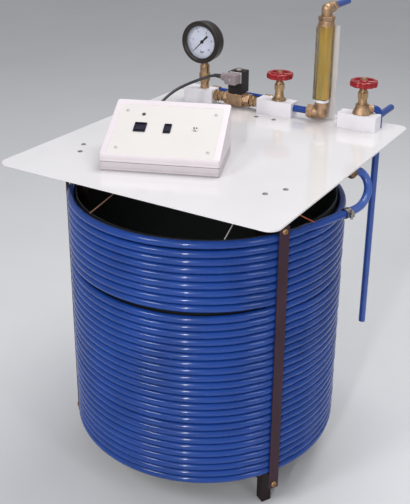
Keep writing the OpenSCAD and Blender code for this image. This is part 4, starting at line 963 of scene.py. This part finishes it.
class RIG_OT_pipes(bpy.types.Operator):
    """The blue pipes between the blocks, and the brass that joins them"""

    bl_idname = "pipe_rig.pipes"
    bl_label = "Pipes and fittings"

    def pipe(self, name, points, radius, nodes=(), wall=None):
        mesh = tube_mesh(name, points, radius * MM, 24, wall, PIPE_BORE_DEPTH * MM)
        add_object(name, mesh, "blue_tube", "root", nodes)

    def execute(self, context):
        across = beside(math.radians(LOW_EXIT))
        riser = Vector((*RISER_AT, COIL_BASE))
        foot = [riser + across * (RISER_TAIL - LOW_END - 0.3), riser]
        top = Vector((*RISER_AT, PLATE_UNDER - 24))
        self.pipe(
            "riser", bent([place(*p) for p in (*foot, top)], RISER_BEND * MM), TUBE_R,
            ["riser_pipe"])
        under = PLATE_TOP - 20
        feed = [(257.7, 76, under), (203, 76, under), (203, 275.7, under)]
        self.pipe("feed", bent([place(*p) for p in feed], FEED_BEND * MM), FEED_R, ["feed_pipe"])
        self.pipe(
            "link", [on_plate(41.5, LINE_Y, LINE_Z), on_plate(86, LINE_Y, LINE_Z)], TUBE_R,
            ["link_pipes"])
        self.pipe(
            "bypass", [on_plate(-168, BYPASS_Y, LINE_Z), on_plate(-36, BYPASS_Y, LINE_Z)], TUBE_R)
        start = Vector((RIGHT_X, LINE_Y, DRAIN_Z)) + DRAIN_WAY * 18
        bend = [start, (*DRAIN_AT, 43), (*DRAIN_AT, -9)]
        self.pipe("drain_bend", bent([on_plate(*p) for p in bend], DRAIN_BEND * MM), DRAIN_BEND_R)
        for name, ends, nodes in (
                ("inlet", ((217.5, 301, 12), (217.5, 434, 12)), ["pipe_stubs"]),
                ("outlet", ((METER_X, 319, OUTLET_Z), (METER_X, 400, OUTLET_Z)), [])):
            points = [on_plate(*p) for p in ends]
            self.pipe(name, points, TUBE_R, nodes, PIPE_WALL * MM)

        joint = place(*(riser + across * (RISER_TAIL - LOW_END + 20)))
        along = facing(joint, -across)
        union = facing(place(*RISER_AT, FITTING_LOW), spin=30)
        drop = facing(place(*DRAIN_AT, FITTING_LOW))
        assemble(
            "under_fittings", "old_brass", ["tube_fittings"], (bar, along, 10, 0, 40, 0.8),
            (nut, along, 21, 12, 28), (nut, union, 24, 0, 12), (bar, union, 10.4, 11.5, 20, 0.4),
            (nut, union, 24, 19.5, 31.7),
            (
                elbow, on_plate(272, 76, -20),
                [((0, 1, 0), 12, 8), ((-1, 0, 0), 13.7, 8), ((0, 0, 1), 16.7, 8)], 8.8),
            (elbow, on_plate(RIGHT_X, LINE_Y, -20), [((0, -1, 0), 14, 8), ((0, 0, 1), 16.7, 9)], 9),
            (bar, drop, 9.8, 0, 31.7, 0.8), (nut, drop, 22, 6, 16), (nut, drop, 22, 22.7, 31.7))

        corners = [
            (
                elbow, on_plate(x, BYPASS_Y, LINE_Z),
                [((0, -1, 0), 18.7, 9), ((side, 0, 0), 14, 10)], 10) for x,
            side in ((-176, 1), (-28, -1))]
        nipple = facing(on_plate(-159.5, LINE_Y, LINE_Z), (1, 0, 0))
        union = facing(on_plate(-59.7, LINE_Y, LINE_Z), (1, 0, 0))
        assemble(
            "line_fittings", "brass", [], *corners, (bar, nipple, 9, 0, 33.2, 0.5),
            (nut, nipple, 23, 6.3, 17.3), (thread, nipple, 9.3, 17.4, 20.2, 1.4),
            (nut, nipple, 20, 20.3, 28.3), (thread, nipple, 9.3, 28.4, 33, 1.4),
            (bar, union, 9, 0, 28.2, 0.4), (nut, union, 22, 0, 9), (nut, union, 20, 11, 21.8))
        return {"FINISHED"}


# ---------------------------------------------------------------- the pressure gauge

NEEDLE_REST = 225.0
DIAL_SWEEP = 270.0
MARKS_R = 34.2


class RIG_OT_gauge(bpy.types.Operator):
    """The pressure gauge with its dial, needle and stem"""

    bl_idname = "pipe_rig.gauge"
    bl_label = "Pressure gauge"

    def execute(self, context):
        face = Matrix.Translation(on_plate(*GAUGE)) @ Matrix.Rotation(math.pi / 2, 4, "X")
        face = face @ Matrix.Scale(MM, 4)
        assemble(
            "gauge_shell", "gauge_black", ["gauge_case"],
            (
                turned,
                [
                    (2.1, -16), (39, -16), (42.5, -15.4), (44.8, -13.6), (46.0, -10.5), (46.2, -6),
                    (46.2, 12), (43.5, 12), (43.5, 5.0), (3, 5.0), (3, 4), (2.1, 4)],
                face, 96))
        assemble(
            "gauge_rim", "gauge_black", ["gauge_bezel"],
            (
                turned,
                [
                    (36.5, 14.2), (36.9, 13.0), (37.4, 12.6), (46.5, 12.6), (46.5, 8.3),
                    (47.3, 8.3), (47.9, 8.9), (48.0, 10), (48.0, 14.6), (47.6, 16.2), (46.6, 17.3),
                    (45.0, 17.8), (42.4, 17.8), (40.2, 17.2), (38.2, 15.8), (36.9, 14.8)],
                face, 96))
        assemble(
            "dial_plate", "dial_white", ["gauge_dial"], (bar, face, 43.2, 5.3, 6.3, 0.1, 3, 96))
        marks = bmesh.new()
        ink = 6.36
        for i in range(51):
            turn = math.radians(NEEDLE_REST - i * DIAL_SWEEP / 50)
            long = i % 10 == 0
            middle = i % 5 == 0
            r0 = 29.2 if long else 30.6 if middle else 32.0
            wide = 1.1 if long else 0.7 if middle else 0.4
            at = Matrix.Translation(ray(turn) * (r0 + MARKS_R) / 2 + Vector((0, 0, ink)))
            at = face @ at @ Matrix.Rotation(turn, 4, "Z")
            box(marks, at, (MARKS_R - r0, wide, 0.1), 0)
        self.numbers(marks, face, ink)
        add_piece("dial_marks", marks, "dial_ink", slot="dial_white")
        needle = bmesh.new()
        hand = face @ Matrix.Rotation(math.radians(-NEEDLE_REST), 4, "Z")
        outline = [
            (-2.4, -19.5), (2.4, -19.5), (2.0, -8), (1.3, 0), (0.45, 31.5), (0, 32), (-0.45, 31.5),
            (-1.3, 0), (-2.0, -8)]
        flat = bmesh.new()
        flat.faces.new([flat.verts.new((x, y, 7.0)) for x, y in outline])
        up = bmesh.ops.extrude_face_region(flat, geom=flat.faces[:])["geom"]
        bmesh.ops.translate(flat, verts=verts_of(up), vec=(0, 0, 0.8))
        bmesh.ops.recalc_face_normals(flat, faces=flat.faces)
        merge(needle, flat, hand)
        bar(needle, hand, 4, 7.0, 8.8, 0.5)
        bar(needle, hand, 2, -14.4, 9.6, 0.2)
        add_piece("dial_needle", needle, "gauge_black", "needle", ["gauge_needle"])
        assemble(
            "dial_glass", "clear_glass", ["gauge_window"],
            (bar, face, 43.8, 10.0, 12.2, 0.2, 0, 96))
        up = upright(GAUGE[0])
        assemble(
            "gauge_shank", "brass", ["gauge_stem"], (bar, up, 8, 24, 34, 0.4),
            (bar, up, 10.5, 32.3, 36, 0.8), (bar, up, 9.4, 35.5, 46.5, 0.6),
            (bar, up, 10.5, 45.5, 49.5, 0.6), (nut, up, 22, 49, 68), (bar, up, 10.8, 67.5, 86, 1.0),
            (bar, up, 9.6, 70, 88.5, 0.8), (bar, up, 7, 72, 95.6, 0.5),
            (bar, up, 4.9, 90, 101.6, 0.3))
        return {"FINISHED"}

    def numbers(self, marks, face, ink):
        words = [(str(n), NEEDLE_REST - n * DIAL_SWEEP / 10, 24.2, 6.0) for n in range(0, 11, 2)]
        for text, turn, r, size in words + [("bar", -90.0, 23.0, 8.5)]:
            curve = bpy.data.curves.new("number", "FONT")
            curve.body = text
            curve.size = size
            curve.align_x = curve.align_y = "CENTER"
            curve.extrude = 0.05
            curve.offset = 0.012 * size
            mesh, made = from_curve(curve, 1e-5)
            bpy.data.meshes.remove(mesh)
            a = math.radians(turn)
            at = Matrix.Translation((r * math.cos(a), r * math.sin(a), ink))
            merge(marks, made, face @ at)


# ---------------------------------------------------------------- the solenoid valve


class RIG_OT_solenoid(bpy.types.Operator):
    """The solenoid valve with its coil, connector and strain reliefs"""

    bl_idname = "pipe_rig.solenoid"
    bl_label = "Solenoid valve"

    def execute(self, context):
        along = facing(on_plate(VALVE_X, LINE_Y, LINE_Z), (1, 0, 0))
        bonnet = upright(VALVE_X, LINE_Z)
        assemble(
            "valve_body", "cast_brass", ["solenoid_body"],
            (
                turned,
                [
                    (5.5, -33), (11, -33), (12, -32), (12, -20), (13.5, -14), (14.2, -6), (14.2, 6),
                    (13.5, 14), (12, 20), (12, 32), (11, 33), (5.5, 33)],
                along),
            (nut, along, 26.5, -33, -22, 1.4, 30), (nut, along, 27, 19, 33, 1.4, 30),
            (box, moved(bonnet, 4, 0, 0), (42, 30.4, 28), 2.2, 4, 5),
            (bar, bonnet, 15.2, 12, 14.2, 0.8))
        up = upright(VALVE_X)
        assemble(
            "valve_core", "zinc_screws", ["solenoid_core"], (bar, up, 14, 33.3, 39.2, 0.6, 5.1),
            (bar, up, 7, 33.3, 89.3, 0.8, 5.1), (nut, up, 17, 84.8, 88.8, 0.6),
            (bar, up, 6.9, 66, 89.5, 1.0))
        assemble(
            "valve_magnet", "black_plastic", ["solenoid_coil"],
            (box, moved(up, 0, 0, 59.8), (34, 39, 49.4), 1.5, 3, 3.5),
            (box, moved(up, 0, 0, 49), (34.5, 39.5, 1.6), 0.3, 2, 3.5))
        front = facing(on_plate(VALVE_X + 3, LINE_Y - 19.5, 73), (0, -1, 0))
        outlet = facing(on_plate(VALVE_X + 3, LINE_Y - 34.5, 75), (-1, 0, 0))
        assemble(
            "valve_plug", "grey_plastic", ["din_connector"],
            (box, moved(front, 0, 0, 14.2), (28, 23, 25), 1.6, 3, 3),
            (box, moved(front, 0, 0, 5), (28.8, 23.8, 3.0), 0.6, 2, 3),
            (bar, front, 4.4, 26, 27.6, 0.3),
            (box, moved(outlet, 0, 0, 14), (17, 17, 10), 2.2, 3, 3),
            (bar, outlet, 7.4, 10, 24, 0.8), (nut, outlet, 16, 18.5, 25.7, 0.8))
        assemble(
            "plug_gasket", "tie_band", [],
            (box, moved(front, 0, 0, 1.0), (30, 24.5, 1.6), 0.4, 2, 2), slot="grey_plastic")
        assemble(
            "plug_screw", "steel", [],
            (turned, [(0, 27.2), (3.2, 27.2), (3.2, 28.2), (2.4, 28.8), (0, 28.8)], front))
        relief = bmesh.new()
        for p, d in (
                (CABLE_ROUTE[0], Vector((-1, 0, 0))),
                (
                    CABLE_ROUTE[-1],
                    (Vector(CABLE_ROUTE[-2]) - Vector(CABLE_ROUTE[-1])).normalized())):
            sleeve = facing(on_plate(*p), d)
            profile = [(3.35, 0.4), (5.2, 0.4), (5.2, 3)]
            for i in range(5):
                z, r = 3 + 3.2 * i, 5.1 - 0.28 * i
                profile += [(r, z), (r, z + 2), (r - 0.6, z + 2.3), (r - 0.6, z + 3.1)]
            profile += [(3.9, 20), (3.35, 20.4)]
            turned(relief, profile, sleeve, 32)
        add_piece("cable_reliefs", relief, "cable_black")
        return {"FINISHED"}


# ---------------------------------------------------------------- the hand valves


def handwheel(bm, hub):
    """A cast wheel: a lobed rim, five arms and a hub."""
    rim = bmesh.new()
    ring = bmesh.ops.create_circle(rim, segments=24, radius=4.6)
    for v in ring["verts"]:
        turn = math.atan2(v.co.y, v.co.x)
        across = max(abs(math.cos(turn)), abs(math.sin(turn)))
        v.co *= 1 + 0.45 * (1 / across - 1)
    bmesh.ops.rotate(
        rim, verts=ring["verts"], cent=(0, 0, 0), matrix=Matrix.Rotation(math.pi / 2, 3, "X"))
    bmesh.ops.scale(rim, verts=ring["verts"], vec=(1, 1, 1.36))
    bmesh.ops.translate(rim, verts=ring["verts"], vec=(25.0, 0, 0))
    bmesh.ops.spin(
        rim, geom=rim.verts[:] + rim.edges[:], cent=(0, 0, 0), axis=(0, 0, 1), angle=math.tau,
        steps=120, use_merge=True)
    bmesh.ops.remove_doubles(rim, verts=rim.verts, dist=1e-4)
    for v in rim.verts:
        r = math.hypot(v.co.x, v.co.y)
        lobe = 0.5 + 0.5 * math.cos(10 * math.atan2(v.co.y, v.co.x))
        outer = max(0.0, (r - 23.5) / 6.3)
        grow = 1 + outer * (0.085 * lobe**0.6 - 0.088)
        v.co.x *= grow
        v.co.y *= grow
    bmesh.ops.recalc_face_normals(rim, faces=rim.faces)
    merge(bm, rim, hub)
    turned(
        bm, [(4.05, -7), (8, -7), (9.2, -6), (9.6, -2), (9.6, 3), (8.8, 6), (7.4, 7), (4.05, 7)],
        hub, 36)
    for i in range(5):
        arm = hub @ Matrix.Rotation(math.tau * i / 5, 4, "Z") @ Matrix.Translation((15.5, 0, 0))
        box(bm, arm, (19, 9.4, 9.0), 3.0, 4)


class RIG_OT_hand_valves(bpy.types.Operator):
    """The two hand valves with their red wheels"""

    bl_idname = "pipe_rig.hand_valves"
    bl_label = "Hand valves"

    def upper(self, bm, up, z):
        """The neck, the gland nut and its cone above a height."""
        bar(bm, up, 10.4, z, z + 4, 0.5, 7.6)
        turned(
            bm,
            [
                (7.6, z + 3.5), (10.2, z + 3.5), (9.6, z + 6), (9.2, z + 11), (9.6, z + 16.5),
                (7.6, z + 16.5)],
            up)
        nut(bm, up, 20.5, z + 16, z + 29, 1.2, 15)
        bar(bm, up, 8.8, z + 28.5, z + 33, 1.0, 4.05)
        turned(bm, [(4.05, z + 32.8), (8.0, z + 32.8), (7.2, z + 35.5), (4.05, z + 35.5)], up)

    def stem(self, name, up, foot, gland, body, node):
        assemble(
            name, "cast_brass", [node], (bar, up, 4, foot + 13, gland + 24.5, 0.5, 0, 32),
            (nut, up, 10, gland + 19.8, gland + 22.8, 0.7),
            (bar, up, 6.6, gland + 19.6, gland + 20.4, 0.1, 4.02), body=body)

    def execute(self, context):
        for x, gland, body, names, nodes in (
                (
                    CENTRE_X, 75.5, "centre_handwheel", ("centre_spindle", "centre_handwheel_rim"),
                    ("centre_stem", "centre_wheel")),
                (
                    RIGHT_X, 85.5, "right_handwheel", ("right_spindle", "right_handwheel_rim"),
                    ("right_stem", "right_wheel"))):
            up = upright(x)
            wheel = bmesh.new()
            handwheel(wheel, upright(x, gland + 12.5))
            add_piece(names[1], wheel, "red_enamel", body, [nodes[1]])
            foot = 13.8 if x == CENTRE_X else 32.3
            self.stem(names[0], up, foot, gland, body, nodes[0])
        up = upright(CENTRE_X)
        assemble(
            "centre_neck", "brass", ["centre_bonnet"], (bar, up, 16, 32.3, 35, 0.8, 7.6),
            (
                turned,
                [(7.6, 34.8), (14.6, 34.8), (13.2, 37), (11.2, 38.6), (10.4, 40.2), (7.6, 40.2)],
                up),
            (self.upper, up, 40))
        up = upright(RIGHT_X)
        side = facing(on_plate(RIGHT_X, LINE_Y, DRAIN_Z), DRAIN_WAY)
        assemble(
            "right_valve_body", "cast_brass", ["right_body"],
            (
                turned,
                [
                    (7.6, 32.3), (18.6, 32.3), (19.4, 33), (19.2, 35.5), (17.6, 39.5), (15.6, 43.5),
                    (14.2, 46.5), (13.8, 49.7), (7.6, 49.7)],
                up),
            (bar, side, 8.4, 12, 24, 0.5, 7.5), (bar, side, 8.8, 17, 24, 0.8, 7.5))
        assemble(
            "right_neck", "brass", ["right_bonnet"], (bar, up, 14, 50, 53, 0.6, 7.6),
            (self.upper, up, 50))
        return {"FINISHED"}


# ---------------------------------------------------------------- the flow meter


class RIG_OT_flow_meter(bpy.types.Operator):
    """The flow meter with its elbows, clear block, tube, float and back plate"""

    bl_idname = "pipe_rig.flow_meter"
    bl_label = "Flow meter"

    def execute(self, context):
        up = upright(METER_X)
        low = on_plate(METER_X, LINE_Y, LINE_Z)
        high = on_plate(METER_X, LINE_Y, OUTLET_Z)
        inlet, outlet = facing(low, (-1, 0, 0)), facing(high, (0, 1, 0))
        assemble(
            "meter_fittings", "cast_brass", ["flow_elbows"], (ball, facing(low), 13.4),
            (bar, inlet, 12.2, 0, 32, 1.0), (nut, inlet, 27, 17, 31.8, 1.6),
            (bar, up, 13, 19, 43, 0.8), (nut, up, 27.4, 31, 43, 1.4),
            (bar, up, 18, 207.3, 211, 0.6), (bar, up, 16.4, 210.5, 219, 0.9),
            (nut, up, 31, 219, 228, 1.6), (bar, up, 11.4, 227, 241, 0.6),
            (ball, facing(high - Vector((0, 0, 0.0012))), 11.6), (bar, outlet, 9.6, 0, 34.9, 0.8),
            (nut, outlet, 20.5, 22, 34.6, 1.2, 30))
        assemble("meter_seat", "white_block", [], (bar, up, 14.4, 43.2, 49.8, 1.2, 6.5))
        assemble(
            "meter_block", "clear_acrylic", ["flow_block"],
            (box, moved(up, 1.2, 0.7, 128.5), (30.4, 29.4, 157), 0.8, 2, 1.5))
        assemble("meter_tube", "amber_tube", ["flow_tube"], (bar, up, 11.6, 50.4, 206.6, 0.2, 6))
        marks = bmesh.new()
        for i in range(12):
            wide = 9.0 if i % 3 == 0 else 5.0
            at = Matrix.Translation((9 if i % 3 else 7, 15.45, 62 + 12 * i))
            box(marks, up @ at, (0.6 * wide, 0.12, 0.6), 0)
        add_piece("meter_marks", marks, "dial_ink", slot="clear_acrylic")
        assemble(
            "meter_float", "steel", ["flow_float"],
            (
                turned,
                [
                    (0, 50), (3.5, 50), (5.5, 51.5), (5.5, 56), (2.4, 63), (1.3, 66), (1.3, 73.5),
                    (0, 74)],
                up, 32),
            body="float")
        eased_copy("flow_bracket", 0.0004)
        return {"FINISHED"}


# ---------------------------------------------------------------- the control box


BOX = (222.0, 145.0)
BOX_AT = (-31.75, -91.75)
BOX_TURN = math.radians(21.8)
BOX_FRONT = 31.0
BOX_TILT = math.atan2(64.0, 145.0)


def box_matrix():
    return (
        Matrix.Translation(on_plate(*BOX_AT)) @ Matrix.Rotation(BOX_TURN, 4, "Z")
        @ Matrix.Scale(MM, 4))


def panel_matrix(u, v):
    """A place on the control box's slope, from its front left corner."""
    return (
        box_matrix() @ Matrix.Translation((-BOX[0] / 2, -BOX[1] / 2, BOX_FRONT))
        @ Matrix.Rotation(BOX_TILT, 4, "X") @ Matrix.Translation((u, v, 0)))


def stepped(bm, matrix, corner, steps):
    """A moulded tray or lid: one rounded outline after another, each with its sides, front and
    back drawn in, its height, and its share of the box's slope."""
    made = bmesh.new()
    bmesh.ops.create_grid(made, x_segments=1, y_segments=1, size=0.5)
    bmesh.ops.scale(made, verts=made.verts, vec=(*BOX, 1))
    bevel(made, made.verts[:], corner, 5, "VERTICES")
    old = (-BOX[0] / 2, BOX[0] / 2, -BOX[1] / 2, BOX[1] / 2)
    for i, (side, front, back, z, lean) in enumerate(steps):
        if i:
            up = bmesh.ops.extrude_face_region(made, geom=[top, *top.edges])["geom"]
            raised = verts_of(up)
            top = next(f for f in up if isinstance(f, bmesh.types.BMFace))
        else:
            raised, top = made.verts[:], made.faces[:][0]
        new = (-BOX[0] / 2 + side, BOX[0] / 2 - side, -BOX[1] / 2 + front, BOX[1] / 2 - back)
        for v in raised:
            v.co.x = new[0] + (v.co.x - old[0]) * (new[1] - new[0]) / (old[1] - old[0])
            v.co.y = new[2] + (v.co.y - old[2]) * (new[3] - new[2]) / (old[3] - old[2])
            v.co.z = z + lean * math.tan(BOX_TILT) * (v.co.y + BOX[1] / 2)
        old = new
    bmesh.ops.recalc_face_normals(made, faces=made.faces)
    merge(bm, made, matrix)


class RIG_OT_control_box(bpy.types.Operator):
    """The control box with its panel, switches, lamp and sockets"""

    bl_idname = "pipe_rig.control_box"
    bl_label = "Control box"

    def execute(self, context):
        e = settings().edges.lid / MM
        tray = bmesh.new()
        rows = [
            (3.4, 0.0), (3.2, 1.5), (0.6, 1.6), (0, 2.4), (0, 5.4), (0.8, 5.9), (0.8, 7.2),
            (0, 7.7), (0, 15.6), (0.5, 16.5), (1.3, 16.9)]
        stepped(tray, box_matrix(), 5, [(r, r, r, z, 0) for r, z in rows])
        add_piece("box_tray", tray, "box_tray", nodes=["box_base"])
        lid = bmesh.new()
        rows = [
            (1.3, 17.4, 0), (0.5, 17.8, 0), (0, 18.6, 0), (0, 22.4, 0), (0.8, 22.9, 0),
            (0.8, 24.2, 0), (0, 24.7, 0), (0, BOX_FRONT - e, 1), (0.3 * e, BOX_FRONT - 0.3 * e, 1),
            (e, BOX_FRONT, 1)]
        steps = [(r, r, r, z, lean) for r, z, lean in rows] + [
            (12.2, 2.6, 13.6, BOX_FRONT, 1), (12.7, 2.8, 14.0, 30.2, 1), (17, 7, 18, 30.15, 1),
            (17.2, 7.2, 18.2, 22, 0.7)]
        stepped(lid, box_matrix(), 5, steps)
        add_piece("box_cover", lid, "box_shell", nodes=["box_lid"], smooth=40)
        eased_copy("box_panel", 0.0003)
        heads = bmesh.new()
        for u, v in ((27, 21), (197, 21), (27, 125), (197, 125)):
            at = panel_matrix(u, v)
            turned(
                heads,
                [
                    (0, -0.75), (3.2, -0.75), (3.2, 0.0), (2.4, 0.8), (0.9, 1.1), (0.8, 0.4),
                    (0, 0.4)],
                at, 24)
        add_piece("cover_screws", heads, "bright_screws", nodes=["panel_screws"])
        eased_copy("switch_housings", 0.0003)
        eased_copy("power_switch", 0.0004)
        eased_copy("valve_switch", 0.0004)
        assemble(
            "lamp_dome", "lamp_lens", ["indicator_lamp"],
            (bar, panel_matrix(60, 116), 3.5, -0.4, 0.9, 0.3),
            (bar, panel_matrix(60, 116), 2.4, 0.5, 1.9, 0.7))
        rear = bmesh.new()
        at = panel_matrix(164, 82)
        back = moved(box_matrix(), -75, BOX[1] / 2, 27)
        out = back @ Matrix.Rotation(-math.pi / 2, 4, "X")
        bar(rear, out, 8.2, 0.2, 1.4, 0.3)
        nut(rear, out, 17, 1.4, 7.3, 0.8)
        bar(rear, out, 5, 0.3, 24, 1.2, 3.35)
        inlet = moved(box_matrix(), 69, BOX[1] / 2 + 1.3, 42)
        for size, shift in (
                ((36, 2.2, 4), (0, 0, 11)), ((36, 2.2, 4), (0, 0, -11)),
                ((5, 2.2, 26), (15.5, 0, 0)), ((5, 2.2, 26), (-15.5, 0, 0))):
            box(rear, moved(inlet, *shift), size, 0.4, 2)
        box(rear, moved(inlet, 0, -9, 0), (27, 10, 19), 0.5, 2)
        for x in (-4, 0, 4):
            box(rear, moved(inlet, x, -1.5, 0), (1.6, 6, 4), 0.2, 2)
        add_piece("box_fittings", rear, "cable_black", nodes=["box_connectors"])
        assemble(
            "socket_ring", "zinc_screws", [], (bar, moved(at, 0, -3.0, 0), 2.7, 0.2, 0.9, 0.3, 1.3),
            slot="grey_plastic")
        assemble("socket_base", "box_face", [], (bar, at, 5.95, 0.05, 0.4, 0.15))
        dots = bmesh.new()
        for side in (-1, 1):
            bar(dots, moved(at, side * 2.4, 2.4, 0), 1.7, 0.2, 0.75, 0.2)
        add_piece("socket_pins", dots, "switch_black")
        return {"FINISHED"}


class RIG_OT_carried(bpy.types.Operator):
    """Finishes for the solids of the frame that stay as they are"""

    bl_idname = "pipe_rig.carried"
    bl_label = "Carried solids"

    def execute(self, context):
        for node, solid in frame["nodes"].items():
            solid.data.materials.clear()
            solid.data.materials.append(material_for(SLOTS[node]))
        return {"FINISHED"}


class RIG_PT_panel(bpy.types.Panel):
    """Lists the rig's pieces in the sidebar"""

    bl_label = "Coiled pipe rig"
    bl_idname = "RIG_PT_panel"
    bl_space_type = "VIEW_3D"
    bl_region_type = "UI"
    bl_category = "Pipe rig"

    def draw(self, context):
        for group in ("coil", "edges", "paint", "camera"):
            column = self.layout.box().column()
            column.label(text=group.capitalize())
            chosen = getattr(context.scene.pipe_rig, group)
            for key in chosen.__annotations__:
                column.prop(chosen, key)
        for step in STEPS:
            self.layout.operator(step.bl_idname)


STEPS = (
    RIG_OT_stage, RIG_OT_cords, RIG_OT_coil, RIG_OT_coil_trim, RIG_OT_frame, RIG_OT_plate,
    RIG_OT_pipes, RIG_OT_gauge, RIG_OT_solenoid, RIG_OT_hand_valves, RIG_OT_flow_meter,
    RIG_OT_control_box, RIG_OT_carried)
CLASSES = (
    CoilSettings, EdgeSettings, PaintSettings, CameraSettings, RigSettings, *STEPS, RIG_PT_panel)


def register():
    for kind in CLASSES:
        bpy.utils.register_class(kind)
    bpy.types.Scene.pipe_rig = bpy.props.PointerProperty(
        type=RigSettings, name="Pipe rig", description="Sizes and colours of the rig")


def unregister():
    del bpy.types.Scene.pipe_rig
    for kind in reversed(CLASSES):
        bpy.utils.unregister_class(kind)


def main():
    register()
    for step in STEPS:
        getattr(bpy.ops.pipe_rig, step.bl_idname.split(".")[1])()


if __name__ == "__main__":
    main()
